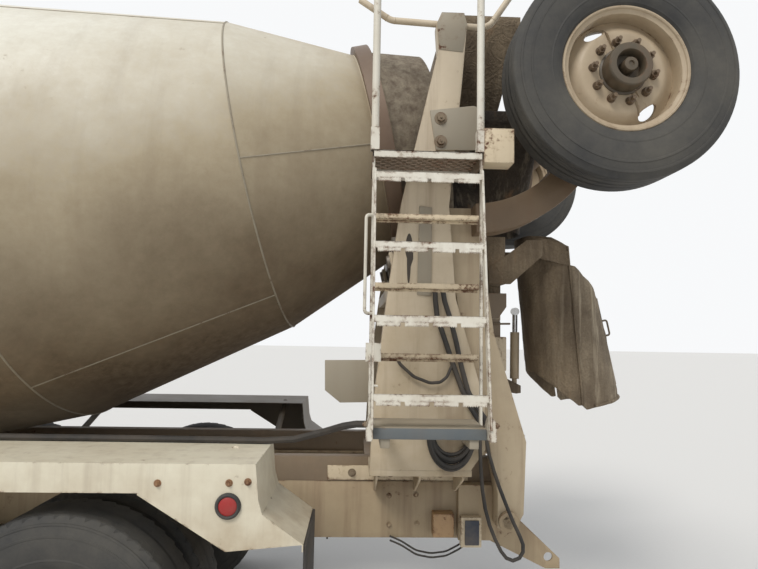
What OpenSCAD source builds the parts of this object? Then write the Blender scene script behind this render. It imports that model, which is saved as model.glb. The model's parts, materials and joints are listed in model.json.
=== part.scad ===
// Concrete mixer truck with a rear discharge drum and a raised trailing booster axle.
// Millimetres. +X points to the front of the truck, +Y to its left, +Z up from the ground.

/* [Frame] */
// Distance from the frame's rear end back to the origin
rear_overhang = 4310; // [4250:10:4400]
// Distance from the origin to the bumper's front face
front_reach = 5150; // [5100:10:5200]
// Half the distance over the two frame rails
rail_half_gauge = 430; // [415:5:440]
// Height of the rails' lower edge
rail_z = 720; // [700:5:740]
// Height of one rail
rail_h = 294; // [280:2:310]
// Width of a rail's flange
rail_flange = 90; // [80:2:95]
// Thickness of a rail's web and flanges
rail_wall = 10; // [8:1:14]
// Height of the mixer subframe on top of the rails
subframe_h = 128; // [110:2:140]
// Width of a subframe beam
subframe_w = 76; // [60:2:90]

/* [Wheels] */
// Outer radius of every tyre
tyre_r = 530; // [515:1:535]
// Width of a drive or booster tyre
tyre_w = 280; // [260:2:285]
// Width of a steer tyre
steer_tyre_w = 310; // [290:2:320]
// Radius of the rim's flange
rim_r = 298; // [290:1:305]
// Distance between the centres of twin tyres
twin_spacing = 340; // [335:1:350]
// Place of the steer axle
steer_axle_x = 3950; // [3900:10:4000]
// Place of the front drive axle
drive_axle_x = -840; // [-880:10:-800]
// Distance between the two drive axles
tandem_spacing = 1370; // [1320:10:1400]
// Distance from the middle to the outer face of a drive tyre
drive_outer_y = 1190; // [1170:5:1215]
// Distance from the middle to the centre of a steer tyre
steer_wheel_y = 1035; // [1020:5:1050]
// Number of studs in a wheel
stud_count = 10; // [8:1:10]

/* [Drum] */
// Angle of the drum's axis, rear end up
drum_tilt = 12.33; // [12:0.01:12.6]
// Place on the drum's axis that its lengths count from
drum_x = -3410; // [-3430:5:-3390]
// Height of that place
drum_z = 2886; // [2870:2:2900]
// Greatest outer radius of the drum
drum_r = 1219; // [1200:1:1225]
// Outer radius at the rear seam
drum_seam_r = 935; // [920:1:945]
// Outer radius of the seat under the roller ring
drum_neck_r = 648; // [640:1:655]
// Outer radius at the mouth
drum_mouth_r = 575; // [560:1:590]
// Outer radius of the front head
drum_head_r = 660; // [640:5:680]
// Thickness of the drum's plate
drum_wall = 8; // [6:1:12]
// Outer radius of the roller ring
ring_r = 693; // [688:1:698]
// Width of the roller ring
ring_w = 84; // [70:2:100]
// Radius of a drum roller
roller_r = 130; // [120:1:140]
// Width of a drum roller
roller_w = 104; // [90:2:120]

/* [Rear pedestal] */
// Distance from the middle to the inner face of a column
column_y = 632; // [626:2:650]
// Thickness of a column
column_t = 90; // [70:2:100]
// Height of the columns' top
column_top_z = 3500; // [3450:10:3560]

/* [Chutes] */
// Place of the chute's swivel post
swivel_x = -4230; // [-4240:5:-4220]
// Place of the chute's lift pin
lift_x = -4455; // [-4460:5:-4450]
// Height of the chute's lift pin
lift_z = 2330; // [2320:5:2340]
// Inner radius of the main chute's trough
chute_r = 236; // [225:1:240]
// Length of the main chute below its pin
chute_l = 930; // [900:10:950]
// Length of the folding chute
fold_chute_l = 860; // [800:10:880]
// Thickness of the chutes' plate
chute_wall = 6; // [4:1:8]
// Lean of the hanging main chute from the vertical
chute_lean = 5; // [4:0.5:6]
// Lean of the folded chute behind it
fold_chute_lean = 12; // [11:0.5:13]

/* [Booster axle] */
// Place of the booster arms' pivot pin
booster_pin_x = -4194; // [-4210:2:-4180]
// Height of the booster arms' pivot pin
booster_pin_z = 868; // [860:2:880]
// Place of the raised booster wheels
booster_wheel_x = -4620; // [-4620:5:-4600]
// Height of the raised booster wheels
booster_wheel_z = 3049; // [3040:5:3060]
// Distance from the middle to the booster tyres' outer face
booster_outer_y = 1130; // [1110:5:1140]
// Distance from the middle to an arm's inner face
arm_y = 500; // [495:1:505]
// Thickness of an arm
arm_t = 112; // [90:2:116]

/* [Ladder] */
// Rearmost place of the ladder
ladder_x0 = -3950; // [-3960:5:-3940]
// Foremost place of the ladder
ladder_x1 = -3480; // [-3490:5:-3470]
// Distance from one rung to the next
rung_pitch = 315; // [300:5:330]
// Height of the platform's floor
platform_z = 2650; // [2630:5:2670]

/* [Cab] */
// Place of the cab's back wall
cab_x0 = 2200; // [2180:5:2240]
// Place of the firewall
cab_x1 = 3560; // [3540:5:3580]
// Half the width of the cab
cab_half_w = 1000; // [980:5:1020]
// Height of the cab's floor
cab_z0 = 1140; // [1130:5:1160]
// Height of the cab's roof
cab_z1 = 2830; // [2780:5:2860]
// Thickness of the cab's walls and doors
cab_wall = 42; // [36:1:50]
// Gap round a door
door_gap = 6; // [5:1:8]
// Thickness of the window glass
glass_t = 6; // [5:1:8]

/* [Hidden] */
$fn = 48;

// Small clearances: a seated face, and a running shaft's radius
seat_gap = 0.3;
run_gap = 0.05;
rail_top = rail_z + rail_h;
deck_z = rail_top + subframe_h;
tandem_x = [drive_axle_x, drive_axle_x - tandem_spacing];
drive_inner_y = drive_outer_y - tyre_w - twin_spacing;

// Box from a low corner to a high corner
module box(low, high) translate(low) cube(high - low);
// Plate or prism: an outline in X and Z, from y0 to y1
module side_plate(points, y0, y1)
  translate([0, y1, 0]) rotate([90, 0, 0]) linear_extrude(y1 - y0) polygon(points);
// Plate or prism: an outline in Y and Z, from x0 to x1
module end_plate(points, x0, x1)
  translate([x0, 0, 0]) rotate([90, 0, 90]) linear_extrude(x1 - x0) polygon(points);
// The same piece on both sides of the truck
module both_sides() {
  children();
  mirror([0, 1, 0]) children();
}
// Rod along Y
module rod_y(x, z, y0, y1, r) translate([x, y0, z]) rotate([-90, 0, 0]) cylinder(h = y1 - y0, r = r);
// Rod between two points in one plane of X and Z
module rod_xz(a, b, y, r) {
  d = b - a;
  translate([a[0], y, a[1]]) rotate([0, 90 - atan2(d[1], d[0]), 0]) cylinder(h = norm(d), r = r);
}
// Rod between any two points
module rod(a, b, r) {
  d = b - a;
  translate(a) rotate([0, acos(d[2] / norm(d)), atan2(d[1], d[0])]) cylinder(h = norm(d), r = r);
}
function unit(v) = v / norm(v);
// Angle through which a path turns at its point i, and the length that a bend takes there
function turn(points, i) = acos(unit(points[i] - points[i - 1]) * unit(points[i + 1] - points[i]));
function setback(points, i, bend) =
  i == 0 || i == len(points) - 1 ? 0 : bend * tan(turn(points, i) / 2);
// How far a bend's ends lie inside the straight tubes, and how much thinner the bend is
bend_lap = 1;
bend_draw = 0.2;
// Tube through points, bent to a radius at each inner point
module bent_tube(points, r, bend) {
  for (i = [1 : len(points) - 1]) {
    d = unit(points[i] - points[i - 1]);
    from = i == 1 ? 0 : setback(points, i - 1, bend) - bend_lap;
    to = i == len(points) - 1 ? 0 : setback(points, i, bend) - bend_lap;
    rod(points[i - 1] + d * from, points[i] - d * to, r);
  }
  for (i = [1 : 1 : len(points) - 2]) {
    a = unit(points[i] - points[i - 1]);
    b = unit(points[i + 1] - points[i]);
    n = unit(b - a * (a * b));
    centre = points[i] - a * setback(points, i, bend) + n * bend;
    z = cross(a, n);
    multmatrix([[-n[0], a[0], z[0], centre[0]], [-n[1], a[1], z[1], centre[1]],
      [-n[2], a[2], z[2], centre[2]], [0, 0, 0, 1]])
      rotate_extrude(angle = turn(points, i)) translate([bend, 0]) circle(r = r - bend_draw);
  }
}

// Frame

crossmember_t = 8;
// Everything at the nose is placed back from the bumper's front face
rail_front = front_reach - 270;
// x of each crossmember between the rails
crossmember_x = [rail_front - 180, 2650, 2250, 900, -300, -1500, -2800, -3700];
module channel(x0, x1, y_out, z0, h, flange, wall) {
  difference() {
    box([x0, y_out - flange, z0], [x1, y_out, z0 + h]);
    box([x0 - 1, y_out - flange - 1, z0 + wall], [x1 + 1, y_out - wall, z0 + h - wall]);
  }
}
hood_pin_x = front_reach - 190;
hood_pin_z = 800;
hood_pin_r = 12;
bumper_z = [420, 740];
bumper_depth = 150;
bumper_wall = 12;
// Distance that the bumper's ends fall back, and their length
bumper_sweep = [80, 130];
bumper_seat_x = front_reach - 113;
// Plate behind each rail with the bore of a tow pin
tail_t = 14;
tail_front = 240 - rear_overhang;
tail_plate = [[tail_front, rail_z + 25], [tail_front, rail_z + 100], [10 - rear_overhang, rail_z + 100],
  [-rear_overhang - 207, rail_z - 100], [-rear_overhang - 207, rail_z - 152],
  [-rear_overhang - 130, rail_z - 152]];
tow_x = -rear_overhang - 145;
tow_z = rail_z - 92;
tow_r = 24;
module frame_rails() color("burlywood") {
  both_sides() channel(-rear_overhang, rail_front, rail_half_gauge, rail_z, rail_h, rail_flange,
    rail_wall);
  difference() {
    for (x = crossmember_x)
      box([x, -rail_half_gauge + rail_wall, rail_z + rail_wall],
        [x + crossmember_t, rail_half_gauge - rail_wall, rail_top - rail_wall - 40]);
    prop_shaft(shaft_r + 20);
  }
  both_sides() difference() {
    side_plate(tail_plate, rail_half_gauge - 0.5, rail_half_gauge + tail_t);
    rod_y(tow_x, tow_z, rail_half_gauge - 1, rail_half_gauge + tail_t + 1, tow_r);
  }
  both_sides() booster_bracket();
  // Hinge brackets of the hood
  both_sides() {
    side_plate([[hood_pin_x - 160, rail_z - 1], [hood_pin_x + 30, rail_z - 1],
      [hood_pin_x + 30, hood_pin_z + 20], [hood_pin_x - 30, hood_pin_z + 20],
      [hood_pin_x - 90, hood_pin_z - 30], [hood_pin_x - 160, hood_pin_z - 30]], 345, 365);
    rod_y(hood_pin_x, hood_pin_z, 364, 395, hood_pin_r);
  }
  // Drop brackets that carry the bumper
  both_sides() box([rail_front - 280, rail_half_gauge - rail_flange, rail_z - 80],
    [bumper_seat_x, rail_half_gauge - rail_flange + 28, rail_z + 1]);
}
pin_r = 32;
// Plates bolted to the rails that hold the booster's pivot pins
module booster_bracket() {
  difference() {
    side_plate([[-3960, rail_z + 10], [-3960, rail_top], [-4140, rail_top], [-4275, 900], [-4275, 800],
      [-4180, rail_z + 10]], rail_half_gauge - 0.5, arm_y - 5);
    rod_y(booster_pin_x, booster_pin_z, 0, arm_y, pin_r + 1);
  }
  rod_y(booster_pin_x, booster_pin_z, rail_half_gauge - 1, arm_y + arm_t + 20, pin_r);
  rod_y(booster_pin_x, booster_pin_z, arm_y + arm_t + 6, arm_y + arm_t + 26, 52);
}

subframe_front = 1900;
module subframe() color("tan") {
  both_sides() box([-rear_overhang, rail_half_gauge - subframe_w, rail_top],
    [subframe_front, rail_half_gauge, deck_z]);
  for (x = [1700, -3560])
    box([x, -rail_half_gauge + subframe_w, rail_top], [x + 100, rail_half_gauge - subframe_w, deck_z - 40]);
}

bumper_y = 1190;
// Folded plate with swept ends: x, y of its outer and inner faces
module front_bumper() color("gray") translate([0, 0, bumper_z[0]])
  linear_extrude(bumper_z[1] - bumper_z[0]) difference() {
    bumper_plan(front_reach, bumper_y, front_reach - bumper_depth);
    difference() {
      bumper_plan(front_reach - bumper_wall, bumper_y - bumper_wall, front_reach - bumper_depth - 1);
      translate([bumper_seat_x, -440]) square([bumper_depth, 880]);
    }
  }
// Plan of the bumper: x of its front, half width, x of its open back
module bumper_plan(x1, half_w, x0) polygon([[x0, -half_w], [x0, half_w], [x1 - bumper_sweep[0], half_w],
  [x1, half_w - bumper_sweep[1]], [x1, bumper_sweep[1] - half_w], [x1 - bumper_sweep[0], -half_w]]);

// Engine, gearbox and radiator as plain blocks
engine_x = [3620, 4600];
radiator_x = [rail_front - 160, rail_front - 50];
module engine_block() color("dimgray") {
  box([engine_x[0], -330, 800], [engine_x[1], 330, 1050]);
  box([engine_x[0], -380, 1040], [engine_x[1], 380, 1600]);
  both_sides() box([4000, 329, 940], [4120, rail_half_gauge - rail_wall - seat_gap, 1000]);
  box([gearbox_x, -250, 780], [engine_x[0] + 1, 250, 1090]);
  box([radiator_x[0], -410, rail_top + seat_gap], [radiator_x[1], 410, 1560]);
  rod([engine_x[1], 0, 1150], [radiator_x[0], 0, 1150], 60);
}

// Axles

kingpin_y = 865;
// Steer axle: dropped beam, leaf springs and their hangers
module front_axle() color("dimgray") {
  z = tyre_r;
  box([steer_axle_x - 50, -560, z - 95], [steer_axle_x + 50, 560, z + 15]);
  both_sides() {
    side_plate([[steer_axle_x - 45, z - 60], [steer_axle_x + 45, z - 60], [steer_axle_x + 45, z + 60],
      [steer_axle_x - 45, z + 60]], 559, kingpin_y - 50);
    translate([steer_axle_x, kingpin_y, z - 60]) cylinder(h = 120, r = 52);
    box([steer_axle_x - 560, 375, z + 15.3], [steer_axle_x + 560, 465, z + 65]);
    box([steer_axle_x + 545, 372, z + 64], [steer_axle_x + 605, 432, rail_z - seat_gap]);
    box([steer_axle_x - 605, 372, z + 64], [steer_axle_x - 545, 432, rail_z - seat_gap]);
  }
}
module knuckle() {
  y = kingpin_y;
  z = tyre_r;
  // Yoke above and below the beam's eye, kingpin caps and the wheel spindle
  translate([steer_axle_x, y, z + 60 + seat_gap]) cylinder(h = 35, r = 50);
  translate([steer_axle_x, y, z - 95 - seat_gap]) cylinder(h = 35, r = 50);
  box([steer_axle_x - 48, y + 56, z - 95.5], [steer_axle_x + 48, y + 84, z + 95.5]);
  box([steer_axle_x - 40, y, z + 65.5], [steer_axle_x + 40, y + 60, z + 95.5]);
  box([steer_axle_x - 40, y, z - 95.5], [steer_axle_x + 40, y + 60, z - 65.5]);
  rod_y(steer_axle_x, z, y + 80, y + 250, 38);
  box([steer_axle_x - 230, y + 10, z - 92], [steer_axle_x - 30, y + 40, z - 70]);
}
module knuckle_left() color("dimgray") knuckle();
module knuckle_right() color("dimgray") mirror([0, 1, 0]) knuckle();

// Propeller shaft from the front drive axle up to the gearbox's flange
gearbox_x = 2750;
shaft_z = 880;
shaft_r = 55;
module prop_shaft(r) rod([tandem_x[0] + 250, 0, tyre_r + 60], [gearbox_x - 20, 0, shaft_z], r);
hub_r = 115;
// Drive axles with their centres, the walking beams and the propeller shaft
module drive_axles() color("dimgray") {
  z = tyre_r;
  for (x = tandem_x) {
    rod_y(x, z, -drive_inner_y - 60, drive_inner_y + 60, 68);
    rod_y(x, z, -twin_outer + 110, twin_outer - 110, 38);
    translate([x, 0, z]) sphere(r = 190);
    rod([x, 0, z + 60], [x + 260, 0, z + 60], 80);
  }
  both_sides() {
    rod([tandem_x[1], rail_half_gauge - 40, z - 90], [tandem_x[0], rail_half_gauge - 40, z - 90], 55);
    for (x = tandem_x) box([x - 60, rail_half_gauge - 90, z - 100], [x + 60, rail_half_gauge + 10, z + 60]);
    translate([(tandem_x[0] + tandem_x[1]) / 2, 0, 0])
      side_plate([[-70, z - 130], [70, z - 130], [170, rail_z + 60], [-170, rail_z + 60]],
        rail_half_gauge + seat_gap, rail_half_gauge + 70);
  }
  prop_shaft(shaft_r);
  rod([gearbox_x - 30, 0, shaft_z], [gearbox_x - seat_gap, 0, shaft_z], 75);
  rod([tandem_x[1] + 250, 0, z + 60], [tandem_x[0] - 150, 0, z + 60], 55);
}

// Wheels, each made at the origin with its outer side towards +Y

// Tyre's section: distance from the wheel's middle plane, radius
module tyre(w) {
  h = w / 2;
  rotate([-90, 0, 0]) rotate_extrude() polygon([[rim_r, -h * 0.72], [rim_r + 30, -h * 0.9],
    [rim_r + 110, -h], [tyre_r - 70, -h * 0.97], [tyre_r - 18, -h * 0.84], [tyre_r, -h * 0.74],
    [tyre_r, h * 0.74], [tyre_r - 18, h * 0.84], [tyre_r - 70, h * 0.97], [rim_r + 110, h],
    [rim_r + 30, h * 0.9], [rim_r, h * 0.72]]);
}
disc_t = 14;
stud_circle_r = 143;
// Rim with its dished disc at y, hub cap, studs and hand holes
module rim(w, disc_y) {
  plain_rim(w, disc_y, 70);
  studs(disc_y);
}
module studs(y) for (i = [0 : stud_count - 1]) rotate([0, i * 360 / stud_count, 0])
  translate([stud_circle_r, y - 1, 0]) rotate([-90, 0, 0]) cylinder(h = 42, r = 15);
// Hub, from the disc to the end of its cap
module hub(y0, y1, bore) difference() {
  rotate([-90, 0, 0]) rotate_extrude() polygon([[0, y0], [hub_r, y0], [hub_r, y1 - 110], [78, y1 - 90],
    [70, y1 - 12], [58, y1], [0, y1]]);
  rotate([-90, 0, 0]) translate([0, 0, y0 - 1]) cylinder(h = bore, r = 38 + run_gap);
}
steer_disc_y = 95;
module steer_rim() {
  rim(steer_tyre_w, steer_disc_y);
  hub(-70, 190, 160);
}
module at_steer() translate([steer_axle_x, steer_wheel_y, tyre_r]) children();
module steer_tyre_left() color("#2b2b2b") at_steer() tyre(steer_tyre_w);
module steer_tyre_right() color("#2b2b2b") mirror([0, 1, 0]) at_steer() tyre(steer_tyre_w);
module steer_rim_left() color("tan") at_steer() steer_rim();
module steer_rim_right() color("tan") mirror([0, 1, 0]) at_steer() steer_rim();

twin_outer = drive_outer_y - tyre_w / 2;
twin_inner = twin_outer - twin_spacing;
module twin_tyres(x) for (y = [twin_inner, twin_outer]) translate([x, y, tyre_r]) tyre(tyre_w);
// Twin rims bolted back to back, the outer one dished inwards
module twin_rims(x) {
  translate([x, twin_inner, tyre_r]) plain_rim(tyre_w, twin_spacing / 2, 115);
  translate([x, twin_outer, tyre_r]) rotate([0, 0, 180]) plain_rim(tyre_w, twin_spacing / 2, 115);
  translate([x, twin_outer - twin_spacing / 2 + disc_t, tyre_r]) studs(0);
  translate([x, twin_outer, tyre_r]) hub(-260, 60, 152);
}
module plain_rim(w, disc_y, dish) {
  h = w / 2;
  rotate([-90, 0, 0]) rotate_extrude() polygon([[rim_r - seat_gap, -h * 0.7], [rim_r - seat_gap, h * 0.7],
    [rim_r - 12, h * 0.7], [rim_r - 34, h * 0.5], [rim_r - 34, -h * 0.5], [rim_r - 12, -h * 0.7]]);
  difference() {
    rotate([-90, 0, 0]) rotate_extrude() polygon([[45, disc_y - disc_t], [rim_r - 90, disc_y - disc_t],
      [rim_r - 33, disc_y - dish], [rim_r - 33, disc_y - dish + 22], [rim_r - 84, disc_y], [45, disc_y]]);
    for (i = [0 : 4]) rotate([0, i * 72 + 20, 0]) translate([rim_r - 76, disc_y - 120, 0]) rotate([-90, 0, 0])
      cylinder(h = 200, r = 26);
  }
}
module drive_tyres_front_left() color("#2b2b2b") twin_tyres(tandem_x[0]);
module drive_tyres_front_right() color("#2b2b2b") mirror([0, 1, 0]) twin_tyres(tandem_x[0]);
module drive_tyres_rear_left() color("#2b2b2b") twin_tyres(tandem_x[1]);
module drive_tyres_rear_right() color("#2b2b2b") mirror([0, 1, 0]) twin_tyres(tandem_x[1]);
module drive_rims_front_left() color("tan") twin_rims(tandem_x[0]);
module drive_rims_front_right() color("tan") mirror([0, 1, 0]) twin_rims(tandem_x[0]);
module drive_rims_rear_left() color("tan") twin_rims(tandem_x[1]);
module drive_rims_rear_right() color("tan") mirror([0, 1, 0]) twin_rims(tandem_x[1]);

booster_wheel_y = booster_outer_y - tyre_w / 2;
module at_booster() translate([booster_wheel_x, booster_wheel_y, booster_wheel_z]) children();
module booster_rim() {
  rim(tyre_w, 60);
  hub(-110, 150, 150);
}
module booster_tyre_left() color("#2b2b2b") at_booster() tyre(tyre_w);
module booster_tyre_right() color("#2b2b2b") mirror([0, 1, 0]) at_booster() tyre(tyre_w);
module booster_rim_left() color("tan") at_booster() booster_rim();
module booster_rim_right() color("tan") mirror([0, 1, 0]) at_booster() booster_rim();

// Booster arms: tapered side boxes, then curved beams out and up to the axle

arm_outline = [[-4235, 830], [-4275, 900], [-4290, 1263], [-4123, 1812], [-4037, 2379], [-4020, 2480],
  [-3880, 2480], [-3868, 2379], [-3950, 1812], [-4080, 1350], [-4140, 1000], [-4140, 830]];
// Curved beam: a quarter turn from the arm's top up to the axle
beam_r = 645;
beam_w = 150;
beam_y = [arm_y + 60, arm_y + 240];
lug_angle = 100;
lug_reach = 350;
lug_x = booster_pin_x + lug_reach * cos(lug_angle);
lug_z = booster_pin_z + lug_reach * sin(lug_angle);
booster_cylinder_y = 240;
module booster_arms() color("sienna") {
  both_sides() {
    difference() {
      side_plate(arm_outline, arm_y, arm_y + arm_t);
      rod_y(booster_pin_x, booster_pin_z, arm_y - 1, arm_y + arm_t + 1, pin_r + run_gap);
    }
    translate([booster_wheel_x + beam_r, beam_y[1], booster_wheel_z]) rotate([90, 0, 0])
      rotate([0, 0, 180]) rotate_extrude(angle = 88) translate([beam_r - beam_w / 2, 0])
        square([beam_w, beam_y[1] - beam_y[0]]);
    rod_y(booster_wheel_x, booster_wheel_z, beam_y[0], booster_wheel_y - 111, 75);
    rod_y(booster_wheel_x, booster_wheel_z, booster_wheel_y - 112, booster_wheel_y + 38, 38);
    // Two lug plates a side, joined behind the rod's eye, with a pin head on each
    for (y = [booster_cylinder_y - 60, booster_cylinder_y + 32]) translate([lug_x, 0, lug_z])
      side_plate([[62, -30], [30, -62], [-30, -62], [-112, -30], [-120, 30], [-80, 66], [30, 62], [62, 30]],
        y, y + 28);
    rod_y(lug_x, lug_z, booster_cylinder_y - 70, booster_cylinder_y - 59, 40);
    rod_y(lug_x - 90, lug_z + 10, booster_cylinder_y - 59, booster_cylinder_y + 59, 22);
    rod_y(lug_x, lug_z, booster_cylinder_y + 59, arm_y + 1, 45);
  }
  rod_y(lug_x, lug_z, -booster_cylinder_y + 60, booster_cylinder_y - 60, 34);
  rod_y(booster_wheel_x, booster_wheel_z, -beam_y[0] - 1, beam_y[0] + 1, 62);
}
booster_base_x = -3620;
booster_base_z = 1480;
barrel_l = 570;
booster_dir = [lug_x - booster_base_x, lug_z - booster_base_z];
booster_len = norm(booster_dir);
booster_u = booster_dir / booster_len;
module cylinder_barrel(a, u, y, l, r, eye_w, eye_r, bore_l, rod_r, pin, neck) difference() {
  union() {
    rod_xz(a + u * eye_r * 0.8, a + u * (neck + 1), y, eye_w * 0.85);
    rod_xz(a + u * neck, a + u * l, y, r);
    rod_y(a[0], a[1], y - eye_w, y + eye_w, eye_r);
  }
  rod_xz(a + u * (l - bore_l), a + u * (l + 2), y, rod_r + run_gap);
  rod_y(a[0], a[1], y - eye_w - 1, y + eye_w + 1, pin + run_gap);
}
// Rod with its eye between the lugs. Its pin is left out, because the eye drifts as the joint turns
module cylinder_rod(e, u, y, l, r, eye_w, eye_r) {
  rod_xz(e - u * l, e - u * eye_r * 0.8, y, r);
  rod_y(e[0], e[1], y - eye_w, y + eye_w, eye_r);
}
module booster_barrels() color("dimgray") both_sides()
  cylinder_barrel([booster_base_x, booster_base_z], booster_u, booster_cylinder_y, barrel_l, 55, 28, 50,
    460, 30, 26, 95);
module booster_rods() color("silver") both_sides()
  cylinder_rod([lug_x, lug_z], booster_u, booster_cylinder_y, booster_len - 112, 30, 28, 52);

// Drum: a frame whose local X runs forward along the drum's axis

module drum_frame() translate([drum_x, 0, drum_z]) rotate([0, drum_tilt, 0]) children();
seam_f = 621;
belly_f = 1853;
belly_front_f = 2700;
head_f = 4450;
ring_f = -104;
mouth_f = -450;
seat_half = 48;
// Outer section: radius, distance forward
drum_section = [[drum_mouth_r, mouth_f], [drum_neck_r, ring_f - seat_half], [drum_neck_r, ring_f + seat_half],
  [drum_seam_r, seam_f], [drum_r, belly_f], [drum_r, belly_front_f], [drum_head_r, head_f],
  [drum_head_r - 180, head_f + 130], [260, head_f + 190]];
head_end_f = head_f + 190;
// Inner section, the head's plate drawn back along the axis
drum_inner = [for (p = drum_section) [p[0] - drum_wall, p[1] - (p[1] > head_f ? drum_wall : 0)]];
module drum_shell() color("antiquewhite") drum_frame() rotate([0, 90, 0]) difference() {
  rotate_extrude($fn = 96) polygon(concat([[0, mouth_f]], drum_section, [[0, head_end_f]]));
  rotate_extrude($fn = 96) polygon(concat([[0, mouth_f - 1]], [[drum_inner[0][0], mouth_f - 1]],
    drum_inner, [[0, head_end_f - drum_wall]]));
}
module drum_ring() color("saddlebrown") drum_frame() rotate([0, 90, 0]) rotate_extrude($fn = 96)
  polygon([[drum_neck_r + 0.2, ring_f - ring_w / 2], [ring_r, ring_f - ring_w / 2], [ring_r, ring_f + ring_w / 2],
    [drum_neck_r + 0.2, ring_f + ring_w / 2]]);
roller_angle = 32;
roller_reach = ring_r + roller_r + 0.5;
roller_shaft_r = 34;
module at_roller() drum_frame()
  translate([ring_f - roller_w / 2, roller_reach * sin(roller_angle), -roller_reach * cos(roller_angle)])
    rotate([0, 90, 0]) children();
module drum_rollers() color("gray") both_sides() at_roller() {
  cylinder(h = roller_w, r = roller_r);
  translate([0, 0, -50]) cylinder(h = roller_w + 100, r = roller_shaft_r);
}

// Front pedestal with the drum's gearbox and motor
module front_pedestal() color("tan") {
  drum_frame() rotate([0, 90, 0]) {
    translate([0, 0, head_end_f + seat_gap]) cylinder(h = 40, r = 250);
    translate([0, 0, head_end_f + 40]) cylinder(h = 330, r = 200);
    translate([0, 0, head_end_f + 369]) cylinder(h = 180, r = 95);
  }
  both_sides() side_plate([[1080, deck_z], [1800, deck_z], [1600, 1960], [1200, 2000]], 199, 260);
  box([1240, -200, 1560], [1660, 200, 1700]);
  box([1080, -rail_half_gauge, deck_z], [1800, rail_half_gauge, deck_z + 30]);
}
tank_half_l = 740;
module water_tank() color("whitesmoke") {
  rod_y(1890, 2380, -tank_half_l, tank_half_l, 260);
  both_sides() side_plate([[1805, deck_z], [1895, deck_z], [1995, 2160], [1805, 2160]], 354, 414);
}

// Rear pedestal: side columns, roller beam, base beam and the chute's bracket

// Each roller bracket: distance forward along the drum, lower end
roller_brackets = [[ring_f - roller_w / 2 - 34, -925], [ring_f + roller_w / 2 + 12, -888]];
bracket_t = 22;
column_outline = [[-3480, deck_z], [-3491, 1455], [-3552, 1990], [-3620, 2487], [-3693, 2826],
  [-3800, 3290], [-3790, column_top_z - 60], [-3815, column_top_z], [-3935, column_top_z],
  [-3950, column_top_z - 60], [-3925, 3120], [-3862, 2465], [-3900, 1990], [-4050, 1468], [-4050, 1240],
  [-3980, deck_z]];
// Bent guard rail beside the drum's neck: x, z
guard_rail = [[-3384, 3578], [-3549, 3470], [-4071, 3444], [-4210, 3656]];
module rear_pedestal() color("tan") {
  both_sides() bent_tube([for (p = guard_rail) [p[0], column_y + column_t / 2, p[1]]], 17, 90);
  both_sides() {
    side_plate(column_outline, column_y, column_y + column_t);
    // Outrigger from the subframe to the column's foot
    box([-3960, rail_half_gauge, rail_top], [-3500, column_y + column_t, deck_z]);
    // Roller brackets, square to the drum's axis
    difference() {
      drum_frame() for (bracket = roller_brackets)
        box([bracket[0], roller_reach * sin(roller_angle) - 60, bracket[1]],
          [bracket[0] + bracket_t, roller_reach * sin(roller_angle) + 60, 45 - roller_reach * cos(roller_angle)]);
      at_roller() translate([0, 0, -90]) cylinder(h = roller_w + 180, r = roller_shaft_r + seat_gap);
    }
  }
  box([-3835, -column_y, 1990], [-3560, column_y, 2060]);
  box([booster_base_x - 260, -column_y, deck_z], [booster_base_x + 70, column_y, deck_z + 60]);
  both_sides() {
    // Lugs for the booster cylinders' base pins
    for (y = [booster_cylinder_y - 60, booster_cylinder_y + 32]) translate([booster_base_x, 0, booster_base_z])
      side_plate([[-20, deck_z + 59 - booster_base_z], [60, deck_z + 59 - booster_base_z], [45, 0], [20, 50],
        [-20, 50], [-35, 20], [-30, -80]], y, y + 28);
    rod_y(booster_base_x, booster_base_z, booster_cylinder_y - 60, booster_cylinder_y + 60, 26);
    side_plate([[-3900, 1900], [-3600, 1900], [-3600, 1991], [-3900, 2020], [-4160, 2020], [-4160, 1900]],
      150, 175);
  }
  box([-4160, -175, 1900], [-4140, 175, 2020]);
  translate([swivel_x, 0, 1900]) difference() {
    cylinder(h = 120, r = 75);
    translate([0, 0, -1]) cylinder(h = 122, r = 50 + run_gap);
  }
}

// Hoppers

module charge_hopper() color("gray") {
  hopper_shell();
  both_sides() box([-3935, 450, 3455], [-3880, column_y - seat_gap, 3480]);
}
module hopper_shell() difference() {
  hull() {
    box([-4297, -500, 3560], [-3870, 500, 3617]);
    box([-4200, -260, 3060], [-3850, 260, 3080]);
  }
  hull() {
    box([-4285, -488, 3572], [-3882, 488, 3625]);
    box([-4188, -248, 3050], [-3862, 248, 3080]);
  }
}
module discharge_collector() color("dimgray") {
  collector_shell();
  both_sides() box([-4060, 552, 2990], [-3900, column_y - seat_gap, 3030]);
}
module collector_shell() difference() {
  hull() {
    box([-4400, -560, 2980], [-3990, 560, 3040]);
    translate([swivel_x, 0, 2440]) cylinder(h = 20, r = 190, $fn = 32);
  }
  hull() {
    box([-4390, -550, 2990], [-3900, 550, 3050]);
    translate([swivel_x, 0, 2430]) cylinder(h = 20, r = 180, $fn = 32);
  }
}

// Chutes: local X points down the hanging chute, local Z to its open rear side

module chute_frame() translate([lift_x, 0, lift_z]) rotate([0, 90 + chute_lean, 0]) children();
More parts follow.
